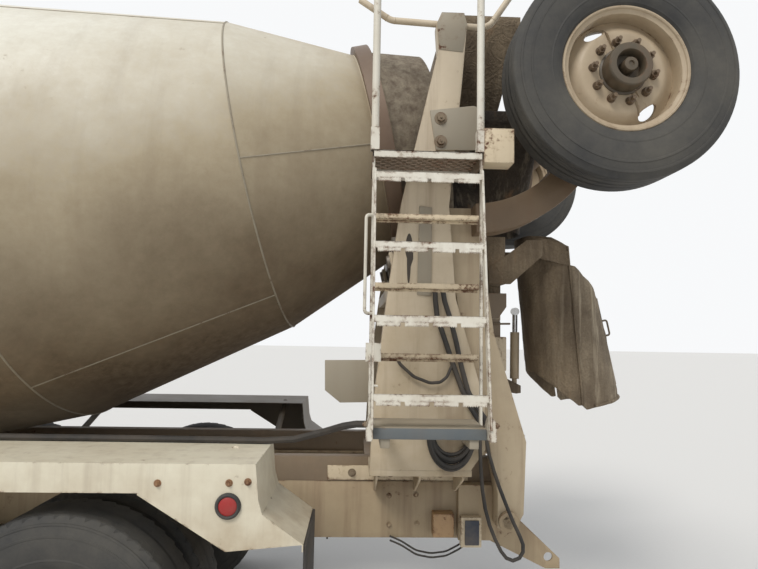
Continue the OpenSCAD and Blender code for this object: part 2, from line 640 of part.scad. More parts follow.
// Distance from the lift pin back to the trough's centre line
chute_back = 201;
fold_x = -4737;
fold_z = 1400;
module fold_frame() translate([fold_x, 0, fold_z]) rotate([0, 90 + fold_chute_lean, 0]) children();
fold_back = 75;
lift_pin_r = 20;
ear_y = 256;
pan_r = ear_y + 10;
module trough(l, r, wall) {
  rotate([0, 90, 0]) rotate([0, 0, 180]) linear_extrude(l) difference() {
    circle(r = r + wall);
    circle(r = r);
    translate([-2 * r, -2 * r]) square([2 * r, 4 * r]);
  }
}
module chute_swivel() color("gray") {
  translate([swivel_x, 0, 1480]) cylinder(h = 415, r = 75);
  translate([swivel_x, 0, 1890]) cylinder(h = 140, r = 50);
  translate([swivel_x, 0, 2025]) cylinder(h = 95, r = 75);
  translate([swivel_x, 0, 2110]) difference() {
    cylinder(h = 280, r = pan_r);
    translate([0, 0, 12]) cylinder(h = 280, r = pan_r - 12);
    box([-400, -300, -1], [-40, 300, 300]);
  }
  both_sides() {
    side_plate([[-4170, 2111], [-4170, 2200], [-4400, 2375], [-4490, 2375], [-4500, 2290], [-4300, 2111]],
      ear_y, ear_y + 14);
    rod_y(lift_x, lift_z, ear_y - 30, ear_y + 1, lift_pin_r);
  }
  // Ears for the lift cylinder's base pin
  both_sides() side_plate([[-4240, 1481], [-4240, 1560], [-4300, 1560], [-4425, 1500], [-4425, 1455],
    [-4395, 1450]], 24, 40);
  rod_y(chute_base[0], chute_base[1], -25, 25, 12);
}
chute_base = [-4395, 1480];
chute_eye = [-4400, 1960];
chute_dir = chute_eye - chute_base;
chute_cyl_len = norm(chute_dir);
chute_cyl_u = chute_dir / chute_cyl_len;
module main_chute() color("darkgray") {
  difference() {
    union() {
      chute_frame() translate([-90, 0, -chute_back]) trough(chute_l + 100, chute_r, chute_wall);
      // Side lugs that hang on the lift pins
      both_sides() chute_frame() difference() {
        translate([0, chute_r + 13, 0]) rotate([90, 0, 0]) linear_extrude(11)
          polygon([[-60, -chute_back], [120, -chute_back], [50, 20], [20, 40], [-20, 40], [-40, 20]]);
        translate([0, 200, 0]) rotate([-90, 0, 0]) cylinder(h = 100, r = lift_pin_r + run_gap);
      }
    }
    // Slanted lower end
    side_plate([[-4445, 1624], [-4723, 1399], [-4723, 1300], [-4300, 1300], [-4300, 1624]], -300, 300);
  }
  // Lugs and pins of the folding chute's hinge
  both_sides() {
    side_plate([[fold_x - 20, fold_z], [fold_x, fold_z - 20], [fold_x + 20, fold_z - 10], [-4690, 1520],
      [-4720, 1520], [fold_x - 20, fold_z + 20]], chute_r + 5, chute_r + 13);
    rod_y(fold_x, fold_z, chute_r + 12, chute_r + 26, fold_hinge_r);
  }
  // Lugs for the lift cylinder's rod, with a pin head on each
  both_sides() {
    side_plate([[-4375, 1940], [-4375, 1985], [-4450, 2040], [-4450, 1900]], 24, 36);
    rod_y(chute_eye[0], chute_eye[1], 35, 44, 16);
  }
}
module fold_chute() color("darkgray") {
  fold_trough();
  both_sides() {
    difference() {
      side_plate([[fold_x - 20, fold_z - 12], [fold_x + 7, fold_z - 20], [fold_x + 20, fold_z],
        [fold_x + 7, fold_z + 20], [-4815, 1570], [-4855, 1560], [-4850, 1510]], chute_r + 15, chute_r + 23);
      rod_y(fold_x, fold_z, chute_r, chute_r + 40, fold_hinge_r + run_gap);
    }
    box([-4850, chute_r - 10, 1512], [-4818, chute_r + 16, 1558]);
  }
}
fold_hinge_r = 10;
module fold_trough() difference() {
  fold_frame() translate([-fold_chute_l, 0, -fold_back]) mirror([0, 0, 1])
    trough(fold_chute_l + 20, chute_r - 14, chute_wall);
  side_plate([[-4990, 1665], [-4745, 1410], [-4600, 1410], [-4600, 1200], [-5200, 1200], [-5200, 1665]],
    -300, 300);
}
module chute_cylinder_barrel() color("dimgray")
  cylinder_barrel(chute_base, chute_cyl_u, 0, 350, 28, 18, 26, 280, 16, 12, 60);
module chute_cylinder_rod() color("silver")
  cylinder_rod(chute_eye, chute_cyl_u, 0, 400, 16, 18, 24);

// Fenders, flaps and lamps

fender_top_z = 1277;
fender_y0 = 730;
fender_y1 = 1214;
fender_x0 = -3008;
fender_x1 = 60;
module rear_fenders() color("tan") both_sides() {
  difference() {
    box([fender_x0, fender_y0, fender_top_z - 117], [fender_x1, fender_y1, fender_top_z]);
    box([fender_x0 + 5, fender_y0 - 1, fender_top_z - 130], [fender_x1 - 5, fender_y1 - 5, fender_top_z - 5]);
  }
  side_plate([[-2541, fender_top_z - 20], [-2541, 1153], [-2898, 935], [-3207, 963], [-3040, 1079],
    [-3022, 1137], [fender_x0, fender_top_z]], fender_y1 - 5, fender_y1);
  // Curved rear apron and the arms from the subframe
  side_plate([[fender_x0, fender_top_z], [-3022, 1137], [-3040, 1079], [-3207, 963], [-3207, 935],
    [-3202, 935], [-3202, 961], [-3034, 1082], [-3016, 1139], [fender_x0 + 5, fender_top_z]],
    fender_y0, fender_y1);
  for (x = [-100, -1525, -2860]) {
    box([x - 40, rail_half_gauge + seat_gap, rail_top + 20], [x + 40, rail_half_gauge + 15, deck_z - 10]);
    rod([x, rail_half_gauge + 8, 1090], [x, 900, fender_top_z - 10], 20);
  }
}
module tail_lamps() color("darkred") both_sides() {
  rod_y(-2903, 1113, fender_y1 + seat_gap, fender_y1 + 18, 52);
  box([-4074, arm_y - 5 + seat_gap, 708], [-3965, arm_y + 50, 861]);
}
module mud_flaps() color("dimgray") both_sides() {
  box([-3219, fender_y0, 300], [-3207 - seat_gap, fender_y1 - 10, 958]);
}

// Stack behind the cab and its pipe to the engine
exhaust_x = 2085;
exhaust_y = -880;
module exhaust_stack() color("silver") {
  bent_tube([[exhaust_x, exhaust_y, 2900], [exhaust_x, exhaust_y, 1250], [exhaust_x, -300, 1250],
    [exhaust_x, -300, 1075], [engine_x[0] - seat_gap, -300, 1075]], 45, 80);
  translate([exhaust_x, exhaust_y, 1500]) cylinder(h = 900, r = 100);
  for (z = [1700, 2250]) box([exhaust_x + 65, exhaust_y - 20, z], [cab_x0 - seat_gap, exhaust_y + 20, z + 40]);
}
module side_tanks() color("silver") both_sides() {
  rod([1350, 790, 800], [2650, 790, 800], 300);
  box([2700, 520, 560], [3240, 1080, 1060]);
  for (x = [1600, 2400, 2950]) box([x, rail_half_gauge, rail_z + 40], [x + 60, 560, rail_z + 160]);
}

// Cab

hinge_x = 3424;
hinge_y = 1014;
hinge_z = [1350, 1800];
// Cab's half of a door hinge
module hinge_half(z, h) {
  translate([hinge_x, hinge_y, z]) cylinder(h = h, r = 14);
  box([hinge_x + 3, cab_half_w - 1, z], [hinge_x + 50, hinge_y - 2, z + h]);
}
// Side outline: x, z
cab_outline = [[cab_x0, cab_z0], [cab_x0, cab_z1 - 70], [cab_x0 + 90, cab_z1], [3080, cab_z1],
  [3520, 1960], [cab_x1, 1900], [cab_x1, cab_z0]];
function inset_cab() = [[cab_x0 + cab_wall, cab_z0 + cab_wall], [cab_x0 + cab_wall, cab_z1 - 90],
  [cab_x0 + 105, cab_z1 - cab_wall], [3080 - 28, cab_z1 - cab_wall], [3520 - 48, 1960 - 16],
  [cab_x1 - cab_wall, 1890], [cab_x1 - cab_wall, cab_z0 + cab_wall]];
door_outline = [[2450, 1230], [3420, 1230], [3420, 1950], [3090, 2650], [2450, 2650]];
door_window = [[2530, 1960], [3330, 1960], [3060, 2570], [2530, 2570]];
module door_panel(d) translate([0, cab_half_w, 0]) rotate([90, 0, 0]) linear_extrude(cab_wall)
  offset(delta = d) polygon(door_outline);
module cab_shell() color("whitesmoke") difference() {
  union() {
    difference() {
      side_plate(cab_outline, -cab_half_w, cab_half_w);
      side_plate(inset_cab(), -cab_half_w + cab_wall, cab_half_w - cab_wall);
    }
    both_sides() {
      rod([3470, 980, 2000], [3520, 1230, 2050], 16);
      box([3490, 1180, 1800], [3530, 1330, 2250]);
      for (x = [2260, 3380]) box([x, 350, rail_top + seat_gap], [x + 110, 420, cab_z0 + 1]);
      for (z = hinge_z) {
        hinge_half(z, 29.7);
        translate([0, 0, z + 60.3]) hinge_half(0, 29.7);
        translate([hinge_x, hinge_y, z]) cylinder(h = 90, r = 8);
      }
    }
  }
  both_sides() translate([0, cab_half_w + 10, 0]) rotate([90, 0, 0]) linear_extrude(cab_wall + 20)
    offset(delta = door_gap) polygon(door_outline);
  box([cab_x0 - 10, -650, 2050], [cab_x0 + cab_wall + 10, 650, 2560]);
  windshield_cut();
}
ws_a = [3080, cab_z1];
ws_b = [3520, 1960];
ws_len = norm(ws_b - ws_a);
ws_angle = atan2(ws_b[1] - ws_a[1], ws_b[0] - ws_a[0]);
// Block in the windshield's plane: local X down the glass, local Z outwards
module windshield_cut() translate([ws_a[0], 0, ws_a[1]]) rotate([0, -ws_angle, 0])
  translate([120, -860, -120]) cube([ws_len - 190, 1720, 140]);
module cab_glass() color("lightblue", 0.4) {
  box([cab_x0 + 18, -650 + seat_gap, 2050 + seat_gap], [cab_x0 + 18 + glass_t, 650 - seat_gap, 2560 - seat_gap]);
  translate([ws_a[0], 0, ws_a[1]]) rotate([0, -ws_angle, 0])
    translate([120 + seat_gap, -860 + seat_gap, -26])
      cube([ws_len - 190 - 2 * seat_gap, 1720 - 2 * seat_gap, glass_t]);
}
module door() difference() {
  union() {
    door_panel(0);
    for (z = hinge_z) {
      translate([hinge_x, hinge_y, z + 30]) cylinder(h = 30, r = 14);
      box([hinge_x - 60, cab_half_w - 1, z + 30], [hinge_x - 3, hinge_y - 2, z + 60]);
    }
  }
  side_plate(door_window, cab_half_w - cab_wall - 1, cab_half_w + 1);
  for (z = hinge_z) translate([hinge_x, hinge_y, z]) cylinder(h = 90, r = 8 + run_gap);
}
module door_left() color("whitesmoke") door();
module door_right() color("whitesmoke") mirror([0, 1, 0]) door();
module door_glass() translate([0, cab_half_w - 18, 0]) rotate([90, 0, 0]) linear_extrude(glass_t)
  offset(delta = -seat_gap) polygon(door_window);
module door_left_glass() color("lightblue", 0.4) door_glass();
module door_right_glass() color("lightblue", 0.4) mirror([0, 1, 0]) door_glass();
module seats() color("dimgray") both_sides() {
  box([2420, 330, 1500], [2900, 830, 1620]);
  box([2330, 330, 1500], [2450, 830, 2250]);
  box([2500, 430, cab_z0 + cab_wall], [2800, 730, 1500]);
}
module dashboard() color("#333333") {
  box([3300, -900, 1600], [cab_x1 - cab_wall, 900, 1880]);
  rod([3300, 580, 1700], [3040, 580, 1912], 25);
  translate([3040, 580, 1910]) rotate([0, -50, 0]) difference() {
    cylinder(h = 26, r = 230);
    translate([0, 0, -1]) cylinder(h = 30, r = 205);
  }
  translate([3040, 580, 1910]) rotate([0, -50, 0]) {
    cylinder(h = 24, r = 60);
    for (a = [0, 120, 240]) rotate([0, 0, a]) translate([0, -18, 4]) cube([215, 36, 12]);
  }
}

// Hood with the front fenders, hinged at its front lower edge

nose_x = front_reach - 130;
hood_outline = [[cab_x1 + 10, 1100], [cab_x1 + 10, 1890], [nose_x - 620, 1800], [nose_x - 120, 1660],
  [nose_x - 20, 1560], [nose_x, 830], [nose_x - 120, 830], [nose_x - 120, 1100]];
module hood() color("whitesmoke") {
  hood_skin();
  both_sides() difference() {
    side_plate([[hood_pin_x - 20, hood_pin_z - 18], [hood_pin_x + 18, hood_pin_z - 18], [nose_x - 8, 832],
      [nose_x - 12, 900], [nose_x - 35, 900], [hood_pin_x - 20, 832]], 368, 392);
    rod_y(hood_pin_x, hood_pin_z, 360, 400, hood_pin_r + run_gap);
  }
}
module hood_skin() difference() {
  union() {
    side_plate(hood_outline, -620, 620);
    both_sides() side_plate([[cab_x1 + 10, 1080], [cab_x1 + 10, 1500], [3700, 1540], [nose_x - 220, 1400],
      [nose_x - 20, 1250], [nose_x - 5, 830], [nose_x - 520, 830], [nose_x - 620, 1080]], 619, 1190);
  }
  side_plate([[cab_x1 + 5, 1000], [cab_x1 + 5, 1870], [nose_x - 625, 1780], [nose_x - 135, 1642],
    [nose_x - 42, 1550], [nose_x - 25, 820], [nose_x - 140, 820], [nose_x - 170, 1000]], -600, 600);
  both_sides() side_plate([[cab_x1 + 5, 1000], [cab_x1 + 5, 1480], [3700, 1520], [nose_x - 230, 1380],
    [nose_x - 42, 1235], [nose_x - 25, 820], [nose_x - 520, 820]], 599, 1170);
  both_sides() rod_y(steer_axle_x, tyre_r, 600, 1300, 700);
  box([nose_x - 80, -400, 900], [nose_x + 80, 400, 1480]);
  both_sides() box([nose_x - 120, 720, 960], [nose_x + 80, 1000, 1160]);
}
module grille() color("gray") {
  for (z = [910 : 60 : 1430]) box([nose_x - 30, -399.5, z], [nose_x - 14, 399.5, z + 30]);
  for (y = [-390, -5, 380]) box([nose_x - 40, y, 900.3], [nose_x - 29, y + 10, 1479.7]);
}
module headlamps() color("lightyellow") both_sides()
  box([nose_x - 60, 720.3, 960.3], [nose_x - 8, 999.7, 1159.7]);

// Ladders

fixed_y = [1000, 1035];
handrail_z = 3690;
handrail_r = 17;
step_z = [1380, 1425];
step_y1 = 1200;
fold_pivot_y = 1235;
fold_pivot_z = 1445;
fold_pin_r = 8;
// x of the outer face of each ladder side
fold_x0 = ladder_x0 - 12;
fold_x1 = ladder_x1 + 12;
// Fixed ladder, platform, handrails and bottom step
module fixed_ladder() color("whitesmoke") {
  for (z = [1700 : rung_pitch : 2400]) box([ladder_x0, fixed_y[0], z], [ladder_x1, fixed_y[1], z + 25]);
  for (x = [ladder_x0 - 20, ladder_x1]) box([x, fixed_y[0] + 2, step_z[0]], [x + 20, fixed_y[1] - 2, platform_z]);
  box([ladder_x0 - 20, column_y + column_t, platform_z - 8], [ladder_x1 + 20, fixed_y[1], platform_z]);
  box([ladder_x0 - 20, column_y + column_t, platform_z - 60],
    [ladder_x1 + 20, column_y + column_t + 8, platform_z]);
  bent_tube([for (p = [[ladder_x0 - 10, platform_z - 1], [ladder_x0 - 10, handrail_z],
    [ladder_x1 + 10, handrail_z], [ladder_x1 + 10, platform_z - 1]]) [p[0], fixed_y[0] + 15, p[1]]],
    handrail_r, 70);
  // Bottom step, its bearers from the pedestal and the folding ladder's pivots
  box([ladder_x0, 940, step_z[0]], [ladder_x1, step_y1, step_z[1]]);
  for (x = [ladder_x0 + 30, ladder_x1 - 70])
    box([x, column_y + column_t, step_z[0] - 40], [x + 40, step_y1 - 10, step_z[0] + 1]);
  for (x = [fold_x0 - 14, fold_x1 + 2])
    end_plate([[1140, step_z[0]], [fold_pivot_y + 12, step_z[0]], [fold_pivot_y + 18, fold_pivot_z],
      [fold_pivot_y, fold_pivot_z + 18], [fold_pivot_y - 18, fold_pivot_z], [1140, step_z[1]]], x, x + 12);
  for (x = [ladder_x0 - 26, ladder_x1 - 1]) box([x, 1140, step_z[0]], [x + 27, 1170, step_z[1]]);
  for (x = [fold_x0 - 3, fold_x1 - 11])
    translate([x, fold_pivot_y, fold_pivot_z]) rotate([0, 90, 0]) cylinder(h = 14, r = fold_pin_r);
}
fold_l = 1120;
fold_lean = 9;
fold_rungs = 4;
fold_rung_pitch = 327;
module fold_ladder() color("whitesmoke") translate([0, fold_pivot_y, fold_pivot_z]) rotate([fold_lean, 0, 0])
  difference() {
    union() {
      for (x = [fold_x0, fold_x1 - 10]) box([x, -20, -22], [x + 10, 20, fold_l]);
      for (i = [0 : fold_rungs - 1]) translate([0, 0, 90 + i * fold_rung_pitch])
        box([fold_x0 + 9, -20, 0], [fold_x1 - 9, 20, 30]);
    }
    translate([fold_x0 - 1, 0, 0]) rotate([0, 90, 0]) cylinder(h = fold_x1 - fold_x0 + 2, r = fold_pin_r + run_gap);
  }

// Hoses held along the frame and pedestal: swept tubes
module tube(points, r, sides) {
  n = len(points);
  rings = [for (i = [0 : n - 1])
    let (t = unit(points[min(i + 1, n - 1)] - points[max(i - 1, 0)]),
      side = unit(cross(t, abs(t[2]) > 0.8 ? [1, 0, 0] : [0, 0, 1])),
      up = cross(side, t))
    for (k = [0 : sides - 1]) points[i] + r * (side * cos(360 * k / sides) + up * sin(360 * k / sides))];
  faces = concat([[for (k = [0 : sides - 1]) k]], [[for (k = [0 : sides - 1]) n * sides - 1 - k]],
    [for (i = [0 : n - 2]) for (k = [0 : sides - 1]) [i * sides + k, i * sides + sides + k,
      i * sides + sides + (k + 1) % sides, i * sides + (k + 1) % sides]]);
  polyhedron(points = rings, faces = faces, convexity = 6);
}
air_hose = [[-1700, 780, 1293.3], [-2200, 780, 1293.3], [-2700, 790, 1293.3], [-2980, 800, 1293.3],
  [-3120, 820, 1305], [-3250, 860, 1345], [-3350, 940, 1388], [-3410, 965, 1402],
  [ladder_x1 + seat_gap, 965, 1402]];
module hose_bundle() color("#222222") tube(air_hose, 16, 8);

frame_rails();
subframe();
front_bumper();
engine_block();
front_axle();
drive_axles();
side_tanks();
exhaust_stack();
cab_shell();
cab_glass();
seats();
dashboard();
rear_fenders();
tail_lamps();
mud_flaps();
front_pedestal();
water_tank();
rear_pedestal();
drum_rollers();
charge_hopper();
discharge_collector();
fixed_ladder();
hose_bundle();
hood();
grille();
headlamps();
door_left();
door_right();
door_left_glass();
door_right_glass();
knuckle_left();
knuckle_right();
steer_tyre_left();
steer_tyre_right();
steer_rim_left();
steer_rim_right();
drive_tyres_front_left();
drive_tyres_front_right();
drive_tyres_rear_left();
drive_tyres_rear_right();
drive_rims_front_left();
drive_rims_front_right();
drive_rims_rear_left();
drive_rims_rear_right();
booster_arms();
booster_barrels();
booster_rods();
booster_tyre_left();
booster_tyre_right();
booster_rim_left();
booster_rim_right();
drum_shell();
drum_ring();
chute_swivel();
main_chute();
fold_chute();
chute_cylinder_barrel();
chute_cylinder_rod();
fold_ladder();
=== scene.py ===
# %% [markdown]
# # A concrete mixer truck, dressed from its CAD frame
#
# The imported CAD part gives every solid, joint and size. This lesson adds what CAD leaves out:
# dusty chipped paint, dried cement, tread, bolts, welds and perforated steps. The first cell
# loads the frame.

# %% Load the frame
import json
import math
import bmesh
import bpy
from mathutils import Matrix, Vector, noise as value_noise
from mathutils.geometry import delaunay_2d_cdt

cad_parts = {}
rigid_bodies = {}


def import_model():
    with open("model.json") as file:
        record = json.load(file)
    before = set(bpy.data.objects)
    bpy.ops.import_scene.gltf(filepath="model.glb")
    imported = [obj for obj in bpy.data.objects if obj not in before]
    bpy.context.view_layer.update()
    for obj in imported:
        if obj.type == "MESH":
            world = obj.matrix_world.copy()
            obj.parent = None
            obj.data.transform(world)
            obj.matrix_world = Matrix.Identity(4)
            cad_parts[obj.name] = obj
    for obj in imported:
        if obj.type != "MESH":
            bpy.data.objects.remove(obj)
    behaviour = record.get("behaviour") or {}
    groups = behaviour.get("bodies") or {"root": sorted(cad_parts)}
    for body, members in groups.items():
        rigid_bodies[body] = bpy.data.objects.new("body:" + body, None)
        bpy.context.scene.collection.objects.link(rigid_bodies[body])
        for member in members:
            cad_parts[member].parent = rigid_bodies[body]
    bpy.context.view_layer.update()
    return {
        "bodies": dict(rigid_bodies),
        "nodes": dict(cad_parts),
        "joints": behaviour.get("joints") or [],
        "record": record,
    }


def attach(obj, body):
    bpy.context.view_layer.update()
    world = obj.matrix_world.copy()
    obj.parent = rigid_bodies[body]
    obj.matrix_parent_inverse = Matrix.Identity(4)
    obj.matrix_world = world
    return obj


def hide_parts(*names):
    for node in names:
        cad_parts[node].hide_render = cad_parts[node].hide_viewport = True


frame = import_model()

scene = bpy.context.scene
nodes = frame["nodes"]


def show(name, data):
    """A new object with its data, linked to the scene."""
    thing = bpy.data.objects.new(name, data)
    scene.collection.objects.link(thing)
    return thing


# %% [markdown]
# ## Camera
#
# The picture was taken at standing height from the truck's left, close to its rear axle.
# A camera can be placed by eye or solved from known sizes. Here its place, turn and lens were
# solved from the wheel, the rails and the ladder, so the render lines up with the picture.

# %% Camera
CAMERA_PLACE = Vector((-3.41, 3.582, 1.823))
CAMERA_PITCH = math.radians(4.65)
CAMERA_YAW = math.radians(2.0)
CAMERA_ROLL = math.radians(1.01)
LENS_PIXELS = 570
FRAME_WIDTH = 758


def camera_axes():
    """Right, up and forward of the camera in the truck's frame."""
    forward = Vector((-math.sin(CAMERA_YAW) * math.cos(CAMERA_PITCH),
                      -math.cos(CAMERA_YAW) * math.cos(CAMERA_PITCH), math.sin(CAMERA_PITCH)))
    right = Vector((-math.cos(CAMERA_YAW), math.sin(CAMERA_YAW), 0))
    up = right.cross(forward)
    turn, lift = math.cos(CAMERA_ROLL), math.sin(CAMERA_ROLL)
    return right * turn + up * lift, up * turn - right * lift, forward


camera_data = bpy.data.cameras.new("camera")
camera_data.sensor_width = 36
camera_data.lens = LENS_PIXELS / FRAME_WIDTH * camera_data.sensor_width
camera_data.clip_end = 200
camera = show("camera", camera_data)
right, up, forward = camera_axes()
camera.matrix_world = Matrix.Translation(CAMERA_PLACE) @ Matrix((right, up, -forward)).transposed().to_4x4()
scene.camera = camera
print("lens in mm:", round(camera_data.lens, 2))

# %% [markdown]
# ## The slack hose
#
# A thin hydraulic hose hangs in a long loop behind the step and turns up to its bracket again.
# It could be swept by hand, but a curve with a round section follows its route exactly, and
# its length can be summed from the same points.

# %% Slack hose
HOSE_Y = 0.745
HOSE_RADIUS = 0.009
HOSE_ROUTE = [(x, HOSE_Y, z) for x, z in (
    (-4.052, 1.3297), (-4.053, 1.29), (-4.064, 1.23), (-4.088, 1.15), (-4.118, 1.065), (-4.15, 0.985),
    (-4.184, 0.905), (-4.216, 0.84), (-4.232, 0.8), (-4.232, 0.765), (-4.214, 0.736), (-4.182, 0.724),
    (-4.15, 0.736), (-4.124, 0.768), (-4.096, 0.822), (-4.068, 0.89), (-4.046, 0.97), (-4.032, 1.06),
    (-4.024, 1.16), (-4.02, 1.26), (-4.02, 1.3297))]
route = bpy.data.curves.new("slack_hose", "CURVE")
route.dimensions = "3D"
route.bevel_depth = HOSE_RADIUS
route.bevel_resolution = 3
route.use_fill_caps = True
line = route.splines.new("POLY")
line.points.add(len(HOSE_ROUTE) - 1)
for point, place in zip(line.points, HOSE_ROUTE):
    point.co = (*place, 1.0)
slack_hose = show("slack_hose", route)
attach(slack_hose, "chassis")

# %% [markdown]
# ## Helpers
#
# A node tree is easier to read when each node is one call with its links inside it. `add` makes
# a node, sets its properties, and joins or sets its inputs. `new_group` makes a node group with
# named sockets, so an effect is built once and used by many materials.

# %% Node helpers
def add(tree, kind, inputs=None, **settings):
    """Adds a node. An input's value is a socket to join or a plain value to set."""
    node = tree.nodes.new(kind)
    for name, value in settings.items():
        setattr(node, name, value)
    for name, value in (inputs or {}).items():
        if isinstance(value, bpy.types.NodeSocket):
            tree.links.new(value, node.inputs[name])
        else:
            node.inputs[name].default_value = value
    return node


def calc(tree, operation, a, b, clamp=False):
    """One Math node. Returns its output."""
    return add(tree, "ShaderNodeMath", {0: a, 1: b}, operation=operation, use_clamp=clamp).outputs[0]


def plus(tree, a, b, clamp=False):
    """The sum of two values."""
    return calc(tree, "ADD", a, b, clamp)


def times(tree, a, b, clamp=False):
    """The product of two values."""
    return calc(tree, "MULTIPLY", a, b, clamp)


# %% Masks, mixes and places
def ramp(tree, value, low, high, to_low=0.0, to_high=1.0):
    """Maps a value from one range to another, clamped."""
    return add(tree, "ShaderNodeMapRange", {"Value": value, "From Min": low, "From Max": high,
                                           "To Min": to_low, "To Max": to_high}).outputs[0]


def blend(tree, factor, first, second):
    """Mixes two colours by a factor."""
    return add(tree, "ShaderNodeMix", {0: factor, 6: first, 7: second}, data_type="RGBA").outputs[2]


def noise(tree, vector, scale, detail=4, rough=0.55):
    """A noise value of mean one half."""
    return add(tree, "ShaderNodeTexNoise", {"Vector": vector, "Scale": scale, "Detail": detail,
                                           "Roughness": rough}).outputs[0]


def object_place(tree):
    """The place on the piece, in the truck's own metres."""
    return add(tree, "ShaderNodeTexCoord").outputs["Object"]


def stretched(tree, place, scale, turn=0.0):
    """The place scaled along its axes and then turned about Y."""
    settings = {"Vector": place, "Rotation": (0, turn, 0), "Scale": scale}
    return add(tree, "ShaderNodeMapping", settings).outputs[0]


def vector(tree, **axes):
    """A vector of the given X, Y and Z."""
    return add(tree, "ShaderNodeCombineXYZ", axes).outputs[0]


# %% Group helpers
def new_group(name, inputs, outputs, kind="ShaderNodeTree"):
    """Starts a node group with named sockets. Returns the tree, its inputs and its output node."""
    tree = bpy.data.node_groups.new(name, kind)
    for label, socket, value in inputs:
        item = tree.interface.new_socket(label, in_out="INPUT", socket_type=socket)
        if value is not None:
            item.default_value = value
    for label, socket in outputs:
        tree.interface.new_socket(label, in_out="OUTPUT", socket_type=socket)
    return tree, add(tree, "NodeGroupInput").outputs, add(tree, "NodeGroupOutput")


def colour(red, green, blue):
    """A linear colour with full alpha."""
    return (red, green, blue, 1.0)


def put_out(tree, out, values):
    """Joins values to the outputs of a group that bear their names."""
    for label, value in values.items():
        tree.links.new(value, out.inputs[label])


FLOAT, COLOUR = "NodeSocketFloat", "NodeSocketColor"

# %% [markdown]
# ## Worn paint
#
# On a working mixer the paint chips at edges down to rust, dust settles over it, and water draws
# brown runs down it. This could be painted by hand, but a node group with named amounts gives
# every piece its own wear from one recipe. Edges are found with a Bevel node: where its rounded
# normal leaves the true one, there is an edge.

# %% Masks of the worn paint group
CHIP_LEVEL = 0.715
CHIP_REACH = 0.13
EDGE_SHARE = 0.11
wear, given, out = new_group("worn_paint", [
    ("Paint", COLOUR, colour(0.6, 0.5, 0.4)), ("Dust", COLOUR, colour(0.33, 0.25, 0.16)),
    ("Rust", COLOUR, colour(0.11, 0.045, 0.02)), ("Dust amount", FLOAT, 0.5),
    ("Runs", FLOAT, 0.4), ("Chips", FLOAT, 0.5), ("Chip scale", FLOAT, 28.0),
    ("Edge width", FLOAT, 0.012), ("Dirty below", FLOAT, 0.0), ("Clean above", FLOAT, 0.1)],
    [("Colour", COLOUR), ("Roughness", FLOAT), ("Height", FLOAT)])
place = object_place(wear)
broad = noise(wear, place, 1.6, 4)
middle = noise(wear, place, 8.0, 6)
fine = noise(wear, place, given["Chip scale"], 8, 0.68)
runs = ramp(wear, noise(wear, stretched(wear, place, (13, 13, 0.8)), 1.0, 5, 0.6), 0.5, 0.72)
bevelled = add(wear, "ShaderNodeBevel", {"Radius": given["Edge width"]}, samples=4).outputs[0]
true_normal = add(wear, "ShaderNodeNewGeometry").outputs["Normal"]
sameness = add(wear, "ShaderNodeVectorMath", {0: bevelled, 1: true_normal}, operation="DOT_PRODUCT")
edge = ramp(wear, sameness.outputs["Value"], 0.99, 0.80)
mottle = times(wear, plus(wear, fine, middle), 0.5)
limit = calc(wear, "SUBTRACT", CHIP_LEVEL, times(wear, given["Chips"], CHIP_REACH))
above = calc(wear, "SUBTRACT", plus(wear, mottle, times(wear, edge, EDGE_SHARE)), limit)
chip = ramp(wear, above, 0.0, 0.012)
halo = ramp(wear, above, -0.06, 0.0, 0.0, 0.6)
height = add(wear, "ShaderNodeSeparateXYZ", {0: place}).outputs["Z"]
low = ramp(wear, height, given["Clean above"], given["Dirty below"])
dust = times(wear, plus(wear, ramp(wear, broad, 0.3, 0.7, 0.2, 0.9), low), given["Dust amount"], True)
dust = times(wear, dust, ramp(wear, middle, 0.3, 0.65, 0.55, 1.15), True)
print("nodes of the masks:", len(wear.nodes))

# %% Colours of the worn paint group
half_dust = blend(wear, 0.5, given["Paint"], given["Dust"])
shade = blend(wear, ramp(wear, fine, 0.3, 0.7, 0.0, 0.25), given["Paint"], half_dust)
filmed = blend(wear, dust, shade, given["Dust"])
run_colour = blend(wear, 0.6, given["Dust"], given["Rust"])
streaked = blend(wear, times(wear, runs, given["Runs"], True), filmed, run_colour)
stained = blend(wear, halo, streaked, blend(wear, 0.5, given["Dust"], given["Rust"]))
put_out(wear, out, {
    "Colour": blend(wear, chip, stained, given["Rust"]),
    "Roughness": plus(wear, ramp(wear, dust, 0.0, 1.0, 0.42, 0.85), times(wear, chip, 0.2), True),
    "Height": calc(wear, "SUBTRACT", times(wear, fine, 0.35), chip)})
print("worn paint nodes:", len(wear.nodes))

# %% Material helpers
materials = {}


def new_material(name):
    """An empty node material with its shader. Returns the tree and the shader."""
    material = bpy.data.materials.new(name)
    material.use_nodes = True
    tree = material.node_tree
    tree.nodes.clear()
    shader = add(tree, "ShaderNodeBsdfPrincipled")
    add(tree, "ShaderNodeOutputMaterial", {"Surface": shader.outputs[0]})
    materials[name] = material
    return tree, shader


def bump(tree, shader, height, distance=0.002, strength=0.6):
    """Joins a height to the shader's normal."""
    node = add(tree, "ShaderNodeBump", {"Height": height, "Strength": strength, "Distance": distance})
    tree.links.new(node.outputs[0], shader.inputs["Normal"])


def grouped(name, recipe, amounts, distance=0.002, strength=0.6, metal=0.0):
    """A material that shows the colour, roughness and height of a node group."""
    tree, shader = new_material(name)
    group = add(tree, "ShaderNodeGroup", amounts, node_tree=recipe)
    tree.links.new(group.outputs["Colour"], shader.inputs["Base Color"])
    tree.links.new(group.outputs["Roughness"], shader.inputs["Roughness"])
    shader.inputs["Metallic"].default_value = metal
    bump(tree, shader, group.outputs["Height"], distance, strength)


